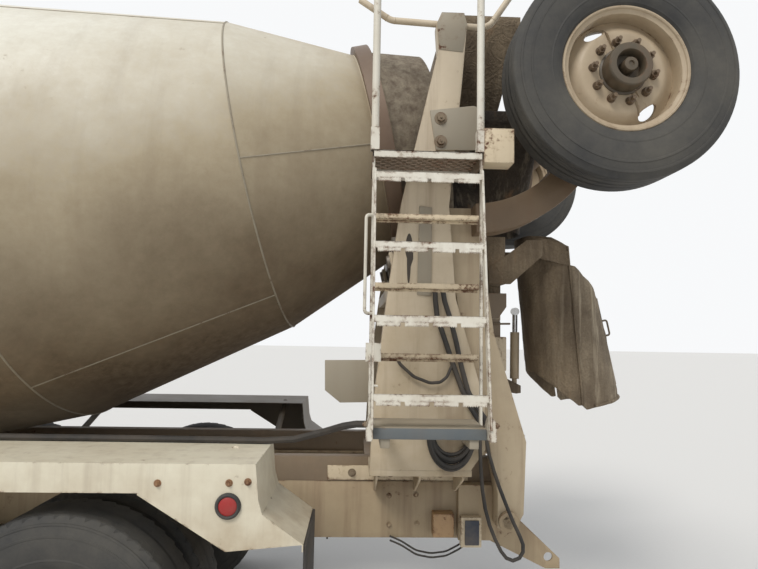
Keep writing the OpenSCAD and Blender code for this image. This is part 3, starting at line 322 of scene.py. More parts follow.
def worn_paint(name, paint, dust, dust_amount, runs, chips, metal=0.0, **others):
    """Worn paint of its own colours and amounts. Other inputs are named with underscores."""
    amounts = {"Paint": colour(*paint), "Dust": colour(*dust), "Dust amount": dust_amount, "Runs": runs,
               "Chips": chips}
    amounts.update({label.replace("_", " "): value for label, value in others.items()})
    grouped(name, wear, amounts, metal=metal)


# %% Materials of worn paint
worn_paint("frame_paint", (0.42, 0.33, 0.21), (0.24, 0.17, 0.1), 0.55, 0.5, 0.55)
worn_paint("pedestal_paint", (0.62, 0.53, 0.4), (0.42, 0.33, 0.21), 0.5, 0.5, 0.42, Dirty_below=1.1,
           Clean_above=2.6)
worn_paint("cab_paint", (0.8, 0.78, 0.7), (0.45, 0.37, 0.26), 0.25, 0.2, 0.1, Dirty_below=0.6,
           Clean_above=1.9)
worn_paint("ladder_paint", (0.74, 0.72, 0.64), (0.4, 0.31, 0.2), 0.4, 0.3, 0.8, Chip_scale=40.0)
worn_paint("beam_paint", (0.13, 0.082, 0.046), (0.21, 0.155, 0.095), 0.45, 0.5, 0.7)
worn_paint("rim_paint", (0.5, 0.41, 0.29), (0.28, 0.2, 0.12), 0.6, 0.2, 0.5)
worn_paint("chassis_black", (0.03, 0.03, 0.03), (0.15, 0.11, 0.07), 0.55, 0.3, 0.4)
worn_paint("fender_paint", (0.82, 0.78, 0.63), (0.4, 0.31, 0.2), 0.42, 0.25, 0.35, Dirty_below=1.0,
           Clean_above=1.3)
worn_paint("bare_steel", (0.3, 0.28, 0.25), (0.2, 0.15, 0.1), 0.5, 0.3, 0.6, metal=0.35)
worn_paint("tank_metal", (0.55, 0.56, 0.57), (0.3, 0.26, 0.2), 0.3, 0.2, 0.1, metal=0.7)
worn_paint("ring_steel", (0.12, 0.072, 0.045), (0.23, 0.18, 0.13), 0.35, 0.5, 0.5, metal=0.2)
worn_paint("platform_steel", (0.13, 0.09, 0.06), (0.24, 0.18, 0.12), 0.4, 0.2, 0.6)
worn_paint("tan_paint", (0.66, 0.56, 0.4), (0.42, 0.31, 0.19), 0.4, 0.3, 0.85, Chip_scale=55.0)
worn_paint("step_paint", (0.3, 0.27, 0.21), (0.34, 0.28, 0.2), 0.7, 0.1, 0.3)
worn_paint("step_blue", (0.09, 0.11, 0.125), (0.2, 0.19, 0.16), 0.35, 0.2, 0.3)
worn_paint("arm_paint", (0.5, 0.41, 0.28), (0.3, 0.22, 0.14), 0.5, 0.45, 0.6)
worn_paint("rust_block", (0.42, 0.27, 0.14), (0.36, 0.22, 0.11), 0.6, 0.5, 0.9, Chip_scale=30.0)
worn_paint("rust_bolt", (0.26, 0.13, 0.06), (0.32, 0.2, 0.11), 0.5, 0.2, 0.4)
# Near-black for the column slot: painted shade of the opening.
worn_paint("slot_shade_black", (0.035, 0.028, 0.022), (0.1, 0.075, 0.05), 0.4, 0.2, 0.0)
worn_paint("chassis_dust", (0.16, 0.12, 0.08), (0.3, 0.22, 0.14), 0.6, 0.3, 0.4)
worn_paint("weld_bead", (0.36, 0.32, 0.24), (0.2, 0.16, 0.11), 0.6, 0.0, 0.3)
worn_paint("fender_dark", (0.1, 0.08, 0.055), (0.2, 0.16, 0.11), 0.5, 0.3, 0.2)
print("materials:", len(materials))

# %% [markdown]
# ## The drum's paint
#
# The drum is washed after each load, but slurry runs back over its rear cone and dries. So its
# paint is clean and pale in front and on top, and brown towards the mouth. It is also painted
# darker below: partly dust, partly painted shade under the drum's belly. The drum's material adds
# one gradient along its axis and one in height to the worn paint's amounts.

# %% Dirt and painted shade masks of the drum
DRUM_TILT = math.radians(12.33)
DRUM_CENTRE = Vector((-3.41, 0, 2.886))
tree, shader = new_material("drum_paint")
place = object_place(tree)
spot = add(tree, "ShaderNodeSeparateXYZ", {0: place}).outputs
ahead = calc(tree, "SUBTRACT", spot["X"], DRUM_CENTRE.x)
below = calc(tree, "SUBTRACT", DRUM_CENTRE.z, spot["Z"])
along = plus(tree, times(tree, ahead, math.cos(DRUM_TILT)), times(tree, below, math.sin(DRUM_TILT)))
cloud = noise(tree, place, 1.7, 7, 0.6)
splash = noise(tree, place, 22.0, 8, 0.72)
rear = ramp(tree, along, 1.9, -0.1)
# Darker downwards from 3.25 m to 1.6 m: partly dust, partly painted shade under the drum's belly.
shade_and_dirt_below = ramp(tree, spot["Z"], 3.25, 1.6)
dirt_and_shade = plus(tree, times(tree, shade_and_dirt_below, 0.86), times(tree, rear, 0.36))
dirt_and_shade = plus(tree, dirt_and_shade, ramp(tree, cloud, 0.25, 0.75, -0.13, 0.13), True)
dirt_and_shade = plus(tree, dirt_and_shade, ramp(tree, splash, 0.3, 0.7, -0.06, 0.06), True)
around = stretched(tree, place, (7.0, 0.9, 0.9), -DRUM_TILT)
wash = ramp(tree, noise(tree, around, 1.0, 6, 0.6), 0.5, 0.75)
neck = ramp(tree, along, -0.13, -0.16)
print("nodes of the dirt masks:", len(tree.nodes))

# %% Colours of the drum
PALE_DUST = colour(0.46, 0.39, 0.27)
# The dark brown reached on the lowest parts is partly mud and partly painted shade.
MUD_AND_SHADE_BROWN = colour(0.2, 0.145, 0.09)
paint = add(tree, "ShaderNodeGroup", {"Paint": colour(0.8, 0.78, 0.68), "Dust": PALE_DUST,
                                      "Dust amount": 0.18, "Runs": 0.0, "Chips": 0.2,
                                      "Chip scale": 34.0}, node_tree=wear)
tan = blend(tree, ramp(tree, splash, 0.35, 0.7), colour(0.36, 0.29, 0.19), PALE_DUST)
brown = blend(tree, ramp(tree, splash, 0.35, 0.7), colour(0.1, 0.07, 0.04), MUD_AND_SHADE_BROWN)
slurry = blend(tree, ramp(tree, splash, 0.35, 0.65), colour(0.12, 0.09, 0.065), colour(0.27, 0.23, 0.17))
# Tan, then brown where the mask is high: dirt towards the mouth, and dust with painted shade on the belly.
tone = blend(tree, ramp(tree, dirt_and_shade, 0.0, 0.5), paint.outputs["Colour"], tan)
tone = blend(tree, ramp(tree, dirt_and_shade, 0.48, 0.95), tone, brown)
washed = times(tree, wash, ramp(tree, dirt_and_shade, 0.0, 0.7, 0.1, 0.35), True)
tone = blend(tree, neck, blend(tree, washed, tone, MUD_AND_SHADE_BROWN), slurry)
tree.links.new(tone, shader.inputs["Base Color"])
tree.links.new(ramp(tree, plus(tree, dirt_and_shade, neck), 0.0, 0.8, 0.38, 0.92), shader.inputs["Roughness"])
lumps = times(tree, splash, plus(tree, dirt_and_shade, times(tree, neck, 3.0)))
bump(tree, shader, plus(tree, paint.outputs["Height"], lumps), 0.004)
print("drum paint nodes:", len(tree.nodes))

# %% [markdown]
# ## Dried cement
#
# Slurry dries in crusts on whatever it touches: hoppers, chutes and the drum's mouth. It hides
# the steel under lumps of grey and brown. A crust is layered noise: broad patches for colour,
# cells for the lumps and grain for the sand.

# %% Dried cement group
crust, given, out = new_group("dried_cement", [
    ("Light", COLOUR, colour(0.3, 0.26, 0.2)), ("Dark", COLOUR, colour(0.05, 0.035, 0.022)),
    ("Cover", FLOAT, 0.5), ("Lump scale", FLOAT, 14.0), ("Streaks", FLOAT, 0.25)],
    [("Colour", COLOUR), ("Roughness", FLOAT), ("Height", FLOAT)])
place = object_place(crust)
patch = noise(crust, place, 2.2, 6, 0.6)
grain = noise(crust, place, 90.0, 5, 0.7)
push = add(crust, "ShaderNodeTexNoise", {"Vector": place, "Scale": 7.0}).outputs["Color"]
bent = add(crust, "ShaderNodeVectorMath", {0: place, 1: push}, operation="ADD").outputs[0]
lump = add(crust, "ShaderNodeTexVoronoi", {"Vector": bent, "Scale": given["Lump scale"]}).outputs[0]
flow = noise(crust, stretched(crust, place, (9, 9, 1.2)), 1.0, 6, 0.65)
cover = ramp(crust, plus(crust, patch, times(crust, given["Cover"], 0.5)), 0.55, 0.9)
mix = times(crust, cover, ramp(crust, flow, 0.35, 0.6, 0.35, 1.0), True)
tone = blend(crust, mix, given["Dark"], given["Light"])
tone = blend(crust, ramp(crust, grain, 0.35, 0.7, 0.0, 0.35), tone, given["Dark"])
tone = blend(crust, ramp(crust, flow, 0.6, 0.75, 0.0, 0.5), tone, colour(0.24, 0.12, 0.05))
slant = stretched(crust, place, (22, 9, 1.1), math.radians(-14))
splashes = ramp(crust, noise(crust, slant, 1.0, 5, 0.6), 0.56, 0.68, 0.0, 0.75)
tone = blend(crust, times(crust, splashes, given["Streaks"]), tone, colour(0.52, 0.44, 0.32))
grit = plus(crust, times(crust, grain, 0.25), patch)
put_out(crust, out, {
    "Colour": tone, "Roughness": ramp(crust, grain, 0.3, 0.7, 0.8, 0.97),
    "Height": plus(crust, times(crust, calc(crust, "SUBTRACT", 1.0, lump), 0.6), grit)})
print("cement nodes:", len(crust.nodes))

# %% Materials of dried cement
def cement(name, light, dark, cover, streaks=0.25):
    """A material of the dried cement group with its own colours and amounts."""
    grouped(name, crust, {"Light": colour(*light), "Dark": colour(*dark), "Cover": cover,
                          "Streaks": streaks}, 0.008, 0.8)


cement("cement_steel", (0.26, 0.2, 0.13), (0.07, 0.048, 0.03), 0.6)
cement("cement_fold", (0.4, 0.325, 0.225), (0.085, 0.058, 0.036), 0.6, 1.0)
# Near-black crust for the discharge collector: partly dark dried cement, partly painted shade of its shadowed
# inside.
cement("crust_and_shade_dark", (0.09, 0.065, 0.04), (0.02, 0.014, 0.009), 0.4)
print("materials:", len(materials))

# %% [markdown]
# ## Rubber, glass, chrome and lamps
#
# Rubber on a building site is grey with dust rather than black. Glass and lamp lenses are smooth
# plastics or glass with a film of dirt, and the rods are hard chrome with faint scratches.

# %% Plain finishes
def dusty(name, base, dust_colour, amount, rough=0.7, scale=3.0, metal=0.0, alpha=None):
    """A finish with a film of dust over it."""
    tree, shader = new_material(name)
    place = object_place(tree)
    broad = ramp(tree, noise(tree, place, scale, 7, 0.65), 0.35, 0.68)
    grain = noise(tree, place, scale * 30, 4)
    film = times(tree, plus(tree, broad, times(tree, grain, 0.3)), amount, True)
    tree.links.new(blend(tree, film, colour(*base), colour(*dust_colour)), shader.inputs["Base Color"])
    tree.links.new(ramp(tree, film, 0.0, 1.0, rough, 0.95), shader.inputs["Roughness"])
    shader.inputs["Metallic"].default_value = metal
    if alpha is not None:
        tree.links.new(ramp(tree, film, 0.0, 1.0, alpha, 0.9), shader.inputs["Alpha"])
    bump(tree, shader, grain, 0.0008, 0.4)


dusty("tyre", (0.022, 0.023, 0.025), (0.13, 0.12, 0.1), 0.55)
dusty("rubber", (0.018, 0.018, 0.018), (0.16, 0.13, 0.1), 0.35, scale=5.0)
dusty("glass", (0.05, 0.06, 0.06), (0.4, 0.36, 0.3), 0.25, 0.05, alpha=0.4)
dusty("rod_chrome", (0.5, 0.5, 0.5), (0.25, 0.2, 0.14), 0.3, 0.15, scale=8.0, metal=1.0)
dusty("lamp_red", (0.36, 0.008, 0.01), (0.25, 0.12, 0.09), 0.3, 0.2, scale=14.0)
dusty("lamp_amber", (0.6, 0.2, 0.02), (0.3, 0.2, 0.1), 0.3, 0.2, scale=14.0)
dusty("lamp_blue", (0.02, 0.03, 0.055), (0.2, 0.16, 0.11), 0.35, 0.25, scale=14.0)
dusty("lamp_clear", (0.6, 0.6, 0.58), (0.4, 0.36, 0.3), 0.3, 0.12, scale=14.0)
dusty("trim_dark", (0.025, 0.025, 0.026), (0.16, 0.14, 0.11), 0.3, 0.5)
dusty("seat_cloth", (0.035, 0.036, 0.042), (0.13, 0.12, 0.1), 0.35, 0.9, scale=9.0)
print("materials:", len(materials))

# %% [markdown]
# ## Floor and light
#
# The part stands on a pale studio floor. The background is white for camera, mirror and glass
# rays only; what lights the truck is a soft sky and a wide sun from the upper left, as on the
# cloudy bright day of the picture.

# %% Floor, sky and sun
FLOOR_REACH = 60
corners = [(x * FLOOR_REACH, y * FLOOR_REACH, 0) for x, y in ((-1, -1), (1, -1), (1, 1), (-1, 1))]
floor_mesh = bpy.data.meshes.new("studio_floor")
floor_mesh.from_pydata(corners, [], [(0, 1, 2, 3)])
floor = show("studio_floor", floor_mesh)
tree, shader = new_material("studio_floor")
place = object_place(tree)
speckle = noise(tree, place, 40.0, 6)
tree.links.new(blend(tree, ramp(tree, speckle, 0.3, 0.7, 0.0, 0.2), colour(0.74, 0.73, 0.71),
                     colour(0.66, 0.65, 0.62)), shader.inputs["Base Color"])
shader.inputs["Roughness"].default_value = 0.9
floor_mesh.materials.append(materials["studio_floor"])

scene.view_settings.view_transform = "Standard"
world = bpy.data.worlds.new("studio")
scene.world = world
world.use_nodes = True
sky = world.node_tree
sky.nodes.clear()
path = add(sky, "ShaderNodeLightPath").outputs
seen = calc(sky, "MAXIMUM", path["Is Camera Ray"],
            calc(sky, "MAXIMUM", path["Is Glossy Ray"], path["Is Transmission Ray"]))
sky_light = add(sky, "ShaderNodeBackground", {"Color": colour(0.93, 0.96, 1.0), "Strength": 0.62})
backdrop = add(sky, "ShaderNodeBackground", {"Color": colour(0.94, 0.95, 0.96), "Strength": 1.0})
shown = add(sky, "ShaderNodeMixShader", {0: seen, 1: sky_light.outputs[0], 2: backdrop.outputs[0]})
add(sky, "ShaderNodeOutputWorld", {"Surface": shown.outputs[0]})

sun_data = bpy.data.lights.new("soft_sun", "SUN")
sun_data.energy = 1.9
sun_data.angle = math.radians(24)
sun_data.color = (1.0, 0.97, 0.92)
sun = show("soft_sun", sun_data)
sun.rotation_mode = "QUATERNION"
sun.rotation_quaternion = Vector((0.45, 0.75, 1.0)).to_track_quat("Z", "Y")
print("lights:", sun_data.name, "and the sky")

# %% [markdown]
# ## Carry a CAD solid over
#
# A CAD solid has knife-sharp edges, which no real steel has. `dress` copies its mesh, joins the
# loose triangles, dissolves the flat ones and rounds each sharp edge a few millimetres. The copy
# stands for the CAD node, rides the same body and takes the same finish.

# %% Finishes of the CAD nodes
slots = {part["node"]: part["material_slot"] for part in frame["record"]["subparts"]}
owners = {node: body for body, held in frame["record"]["behaviour"]["bodies"].items() for node in held}
# The discharge collector takes the near-black crust, which holds painted shade of its inside.
finish_of = dict(slots, rear_fenders="fender_paint", discharge_collector="crust_and_shade_dark",
                 subframe="chassis_dust", chute_cylinder_barrel="arm_paint")
for name, node in nodes.items():
    node.data.materials.clear()
    node.data.materials.append(materials[finish_of[name]])
route.materials.append(materials["rubber"])
print("bodies with nodes:", len(set(owners.values())))

# %% Dress helpers
DOUBLES = 0.00005
FLAT_ANGLE = math.radians(1.0)


def tidy(mesh):
    """A bmesh of the mesh with its doubles merged and flat faces joined."""
    work = bmesh.new()
    work.from_mesh(mesh)
    bmesh.ops.remove_doubles(work, verts=work.verts, dist=DOUBLES)
    bmesh.ops.dissolve_limit(work, angle_limit=FLAT_ANGLE, verts=work.verts, edges=work.edges)
    return work


def soften(work, radius=0.002, steps=2, angle=60, clamp=False):
    """Rounds the edges that bend by more than an angle in degrees."""
    edges = [e for e in work.edges if len(e.link_faces) == 2
             and e.calc_face_angle(0) > math.radians(angle)]
    bmesh.ops.bevel(work, geom=edges, offset=radius, segments=steps, profile=0.5,
                    affect="EDGES", clamp_overlap=clamp)


def place_mesh(mesh, name, body, replaced=()):
    """A mesh as a piece that rides its body."""
    piece = show(name, mesh)
    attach(piece, body)
    if replaced:
        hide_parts(*replaced)
    return piece


def keep(work, name, material, body, replaced=(), smooth=40):
    """Turns a bmesh into a finished piece, shaded smooth up to an angle in degrees."""
    mesh = bpy.data.meshes.new(name)
    work.to_mesh(mesh)
    work.free()
    mesh.materials.clear()
    mesh.materials.append(materials[material])
    mesh.polygons.foreach_set("material_index", [0] * len(mesh.polygons))
    mesh.polygons.foreach_set("use_smooth", [True] * len(mesh.polygons))
    mesh.set_sharp_from_angle(angle=math.radians(smooth))
    return place_mesh(mesh, name, body, replaced)


def dress(node, radius):
    """A copy of the CAD solid with its sharp edges rounded."""
    work = tidy(nodes[node].data)
    soften(work, radius, 3 if radius > 0.005 else 2, 35, clamp=True)
    keep(work, node + "_dressed", finish_of[node], owners[node], [node])

# %% [markdown]
# ## Shapes from sections
#
# Most of the truck is plate, tube and turned parts. Each has a small maker here: a block, a
# plate cut to an outline, a tube along a path and a lathe about a wheel's axle. They all add to
# one bmesh, so a piece can be gathered from several of them before its edges are rounded.

# %% Plates and blocks
def prism(work, near, far):
    """A solid between two rings of corners."""
    rings = [[work.verts.new(corner) for corner in ring] for ring in (near, far)]
    faces = [work.faces.new(rings[0]), work.faces.new(rings[1][::-1])]
    for i in range(len(near)):
        j = (i + 1) % len(near)
        faces.append(work.faces.new((rings[0][j], rings[0][i], rings[1][i], rings[1][j])))
    bmesh.ops.recalc_face_normals(work, faces=faces)


def plate(work, outline, near, far):
    """A plate of an x, z outline between two y."""
    near_ring, far_ring = ([(x, y, z) for x, z in outline] for y in (near, far))
    prism(work, near_ring, far_ring)


def block(work, low, high):
    """A box from its lowest to its highest corner."""
    plate(work, [(low[0], low[2]), (high[0], low[2]), (high[0], high[2]), (low[0], high[2])], low[1], high[1])


def side_block(work, hand, low, high):
    """A box on one side of the truck, with hand 1 for the left and -1 for the right."""
    near, far = sorted((hand * low[1], hand * high[1]))
    block(work, (low[0], near, low[2]), (high[0], far, high[2]))


# %% Tubes and turned shapes
def turns(count, extra=0):
    """Angles at even steps round a full turn, and extra ones past it."""
    return [2 * math.pi * k / count for k in range(count + extra)]


def skin(work, pairs):
    """Faces between each pair of rings."""
    faces = []
    for first, second in pairs:
        for k in range(len(first)):
            n = (k + 1) % len(first)
            faces.append(work.faces.new((first[k], first[n], second[n], second[k])))
    return faces


def rounded(path, reach, steps=5):
    """The path with each inner corner replaced by a short curve."""
    points = [Vector(p) for p in path]
    curve = [points[0]]
    for before, here, after in zip(points, points[1:], points[2:]):
        start = here + (before - here).normalized() * min(reach, (before - here).length / 2)
        end = here + (after - here).normalized() * min(reach, (after - here).length / 2)
        for i in range(steps + 1):
            t = i / steps
            curve.append(start * (1 - t) ** 2 + here * 2 * t * (1 - t) + end * t ** 2)
    return curve + [points[-1]]


def tube(work, path, radius, sides=12):
    """A round bar along a path, capped at its ends."""
    points = [Vector(p) for p in path]
    side = None
    rings = []
    for i, point in enumerate(points):
        along = (points[min(i + 1, len(points) - 1)] - points[max(i - 1, 0)]).normalized()
        if side is None:
            side = along.orthogonal().normalized()
        side = (side - along * side.dot(along)).normalized()
        other = along.cross(side)
        rings.append([work.verts.new(point + radius * (side * math.cos(a) + other * math.sin(a)))
                      for a in turns(sides)])
    caps = [work.faces.new(rings[0][::-1]), work.faces.new(rings[-1])]
    bmesh.ops.recalc_face_normals(work, faces=caps + skin(work, zip(rings, rings[1:])))


def lathe(work, rows, centre, side=1, segments=96):
    """Turns closed rows of (radius, along) about the Y line through centre."""
    rings = [[work.verts.new((centre[0] + r * math.cos(a), centre[1] + side * y, centre[2] + r * math.sin(a)))
              for a in turns(segments)] for r, y in rows]
    bmesh.ops.recalc_face_normals(work, faces=skin(work, zip(rings, rings[1:] + rings[:1])))

# %% [markdown]
# ## Bolts by Geometry Nodes
#
# A truck has hundreds of bolts, and each is a hexagon head on a washer. One node tree makes the
# bolt from named sizes and sets it on every point of a small mesh, turned to the point's own
# facing and spun by a seeded random angle, as a fitter leaves them.

# %% Bolt tree
def end_tree(tree, placed, given, out):
    """Makes instances real, gives them their finish and puts them out."""
    real = add(tree, "GeometryNodeRealizeInstances", {"Geometry": placed.outputs[0]})
    done = add(tree, "GeometryNodeSetMaterial", {"Geometry": real.outputs[0], "Material": given["Finish"]})
    put_out(tree, out, {"Geometry": done.outputs[0]})


GEOMETRY, MATERIAL = "NodeSocketGeometry", "NodeSocketMaterial"
bolts, given, out = new_group("bolt_field", [
    ("Geometry", GEOMETRY, None), ("Head radius", FLOAT, 0.012), ("Head height", FLOAT, 0.01),
    ("Washer radius", FLOAT, 0.018), ("Washer height", FLOAT, 0.003), ("Stub radius", FLOAT, 0.006),
    ("Stub length", FLOAT, 0.006), ("Seed", "NodeSocketInt", 4), ("Finish", MATERIAL, None)],
    [("Geometry", GEOMETRY)], "GeometryNodeTree")
head_lift = plus(bolts, times(bolts, given["Head height"], 0.5), given["Washer height"])
stub_lift = plus(bolts, plus(bolts, given["Head height"], given["Washer height"]),
                 times(bolts, given["Stub length"], 0.5))
bolt = add(bolts, "GeometryNodeJoinGeometry")
for corners, radius, depth, lift in ((12, "Stub radius", "Stub length", stub_lift),
                                     (6, "Head radius", "Head height", head_lift),
                                     (20, "Washer radius", "Washer height", 0.0)):
    bar = add(bolts, "GeometryNodeMeshCylinder", {"Vertices": corners, "Radius": given[radius],
                                                  "Depth": given[depth]})
    part = add(bolts, "GeometryNodeTransform", {"Geometry": bar.outputs[0],
                                                "Translation": vector(bolts, Z=lift)})
    bolts.links.new(part.outputs[0], bolt.inputs[0])
facing = add(bolts, "GeometryNodeInputNamedAttribute", {"Name": "facing"}, data_type="FLOAT_VECTOR")
turned = add(bolts, "FunctionNodeAlignRotationToVector", {"Vector": facing.outputs[0]}, axis="Z")
spin = add(bolts, "FunctionNodeRandomValue", {"Seed": given["Seed"]}, data_type="FLOAT")
spin.inputs["Max"].default_value = 1.0
spun = add(bolts, "FunctionNodeRotateRotation", {
    "Rotation": turned.outputs[0], "Rotate By": vector(bolts, Z=spin.outputs[1])}, rotation_space="LOCAL")
placed = add(bolts, "GeometryNodeInstanceOnPoints", {
    "Points": given["Geometry"], "Instance": bolt.outputs[0], "Rotation": spun.outputs[0]})
end_tree(bolts, placed, given, out)
print("bolt tree nodes:", len(bolts.nodes))

# %% Bolt fields
def grown(tree, source, values):
    """The plain mesh that a tree makes from a source mesh with the given named values."""
    holder = show("holder", source)
    modifier = holder.modifiers.new("grown", "NODES")
    modifier.node_group = tree
    for item in tree.interface.items_tree:
        if item.item_type == "SOCKET" and item.in_out == "INPUT" and item.name in values:
            modifier[item.identifier] = values[item.name]
    bpy.context.view_layer.update()
    mesh = bpy.data.meshes.new_from_object(holder.evaluated_get(bpy.context.evaluated_depsgraph_get()))
    bpy.data.objects.remove(holder)
    return mesh


def bolt_field(name, spots, body, finish="bolt_steel", **sizes):
    """Bolts on (place, facing) spots. Their sizes are named with underscores."""
    points = bpy.data.meshes.new(name)
    points.from_pydata([place for place, facing in spots], [], [])
    points.attributes.new("facing", "FLOAT_VECTOR", "POINT").data.foreach_set(
        "vector", [value for place, facing in spots for value in facing])
    values = {label.replace("_", " "): value for label, value in sizes.items()}
    mesh = grown(bolts, points, dict(values, Finish=materials[finish]))
    print(name, "bolts:", len(spots), "faces:", len(mesh.polygons))
    place_mesh(mesh, name, body)


worn_paint("bolt_steel", (0.2, 0.15, 0.1), (0.3, 0.24, 0.16), 0.5, 0.2, 0.7, metal=0.2)

# %% [markdown]
# ## Tyres
#
# A truck tyre is a turned section with straight grooves round the tread, a rounded shoulder and
# fine rings on the sidewall. Steered and booster wheels run on ribs. Driven wheels have blocks,
# which one node tree sets round the tread in rows.

# %% Tyre section
TYRE_RADIUS = 0.530
RIM_RADIUS = 0.298
BOOSTER_WHEEL = (-4.620, 0.990, 3.049)
STEER_WHEEL = (3.95, 1.035, TYRE_RADIUS)
TANDEM = {"front": -0.840, "rear": -2.210}
SIDEWALL = ((RIM_RADIUS + 0.001, 0.72), (RIM_RADIUS + 0.012, 0.82), (RIM_RADIUS + 0.02, 0.84),
            (RIM_RADIUS + 0.03, 0.9), (0.352, 0.94), (0.354, 0.955), (0.36, 0.955), (0.362, 0.95),
            (0.385, 0.985), (0.42, 1), (0.445, 0.99), (0.447, 1), (0.455, 1), (0.457, 0.98), (0.475, 0.955),
            (0.49, 0.93), (0.492, 0.945), (0.5, 0.935), (0.502, 0.9), (0.515, 0.83), (0.525, 0.79))
GROOVE_DEPTH = 0.013


def tyre_rows(width, grooves):
    """Closed rows of a tyre's section: one sidewall, the grooved tread and the other sidewall."""
    half = width / 2
    wall = [(r, half * share) for r, share in SIDEWALL]
    crown = [(TYRE_RADIUS - 0.001, half * 0.74)]
    for groove in grooves:
        crown += [(TYRE_RADIUS, groove + 0.006), (TYRE_RADIUS - GROOVE_DEPTH, groove + 0.003),
                  (TYRE_RADIUS - GROOVE_DEPTH, groove - 0.003), (TYRE_RADIUS, groove - 0.006)]
    return wall + crown + [(r, -y) for r, y in (wall + [crown[0]])[::-1]]


# %% Tree of tread blocks
BLOCK_DROP = 0.0095
TREAD_ROWS = (-0.31, -0.105, 0.105, 0.31)
blocks, given, out = new_group("tread_blocks", [
    ("Geometry", GEOMETRY, None), ("Radius", FLOAT, 0.52), ("Count", "NodeSocketInt", 52),
    ("Block length", FLOAT, 0.045), ("Block width", FLOAT, 0.05), ("Block height", FLOAT, 0.018),
    ("Skew", FLOAT, 0.35), ("Finish", MATERIAL, None)], [("Geometry", GEOMETRY)], "GeometryNodeTree")
size = vector(blocks, X=given["Block height"], Y=given["Block length"], Z=given["Block width"])
cube = add(blocks, "GeometryNodeMeshCube", {"Size": size})
skewed = add(blocks, "GeometryNodeTransform", {
    "Geometry": cube.outputs[0], "Rotation": vector(blocks, X=given["Skew"])})
circle = add(blocks, "GeometryNodeCurvePrimitiveCircle", {
    "Resolution": given["Count"], "Radius": given["Radius"]})
stations = add(blocks, "GeometryNodeCurveToPoints", {"Curve": circle.outputs[0]}, mode="EVALUATED")
outward = add(blocks, "GeometryNodeInputPosition").outputs[0]
faced = add(blocks, "FunctionNodeAlignRotationToVector", {"Vector": outward}, axis="X", pivot_axis="Z")
ring = add(blocks, "GeometryNodeInstanceOnPoints", {
    "Points": stations.outputs[0], "Instance": skewed.outputs[0], "Rotation": faced.outputs[0]})
upright = add(blocks, "GeometryNodeTransform", {"Geometry": ring.outputs[0], "Rotation": (math.pi / 2, 0, 0)})
placed = add(blocks, "GeometryNodeInstanceOnPoints", {
    "Points": given["Geometry"], "Instance": upright.outputs[0]})
end_tree(blocks, placed, given, out)
print("tread tree nodes:", len(blocks.nodes))

# %% Tyres of every body
def tyre_piece(name, places, width, grooves, body, driven=False):
    """One body's tyres about their (x, y, z) middles, replacing its CAD tyres."""
    work = bmesh.new()
    for place in places:
        lathe(work, tyre_rows(width, grooves), place)
    if driven:
        points = bpy.data.meshes.new("tread_rows")
        points.from_pydata([(x, y + share * width, z) for x, y, z in places for share in TREAD_ROWS], [], [])
        values = {"Finish": materials["tyre"], "Radius": TYRE_RADIUS - BLOCK_DROP}
        work.from_mesh(grown(blocks, points, values))
    keep(work, name + "_detailed", "tyre", body, [name], 28)


TYRE_WIDTH = 0.280
STEER_WIDTH = 0.310
TWIN_OUTER = 1.050
TWIN_INNER = 0.710
SIDES = {"left": 1, "right": -1}
RIBS = (-0.066, -0.024, 0.024, 0.066)
BLOCK_GROOVES = (-0.058, 0.0, 0.058)
for hand, side in SIDES.items():
    for kind, (x, y, z), width in (("booster", BOOSTER_WHEEL, TYRE_WIDTH),
                                   ("steer", STEER_WHEEL, STEER_WIDTH)):
        tyre_piece(kind + "_tyre_" + hand, [(x, side * y, z)], width, RIBS, kind + "_wheel_" + hand)
    for row, x in TANDEM.items():
        twins = [(x, side * y, TYRE_RADIUS) for y in (TWIN_INNER, TWIN_OUTER)]
        tyre_piece("drive_tyres_" + row + "_" + hand, twins, TYRE_WIDTH, BLOCK_GROOVES,
                   "drive_wheels_" + row + "_" + hand, True)
print("tyres made:", 2 * (2 + 2 * len(TANDEM)))

# %% [markdown]
# ## Rims
#
# A disc wheel is a rolled band with a pressed disc welded into it. The disc has a flat middle
# with ten studs, a sloping shoulder and two long hand holes. The disc is flat-patterned here:
# its rings and the holes' outlines are joined in the wheel's plane and then lifted to the dish.
# The hub is turned, with an open end on the booster wheels, where the nut sits in oily grime.

# %% Disc of a wheel
HAND_HOLES = (56, 236)
FLAT_RADIUS = 0.192
DISC_RADIUS = 0.266
DISC_WALL = 0.012
BORE = 0.05


def hole_outline(angle):
    """A long round-ended hole across the disc's slope, at an angle in degrees."""
    outline = []
    for a in turns(28):
        along = 0.052 * math.copysign(abs(math.cos(a)) ** 0.8, math.cos(a))
        spot = Vector((0.226 + 0.025 * math.sin(a) - along * along * 1.8, along))
        outline.append(Matrix.Rotation(math.radians(angle), 2) @ spot)
    return outline


def in_outline(spot, outline):
    """Whether a 2-D spot lies inside a closed outline."""
    inside = False
    for a, b in zip(outline, outline[1:] + outline[:1]):
        if (a.y > spot.y) != (b.y > spot.y) and spot.x < (b.x - a.x) * (spot.y - a.y) / (b.y - a.y) + a.x:
            inside = not inside
    return inside


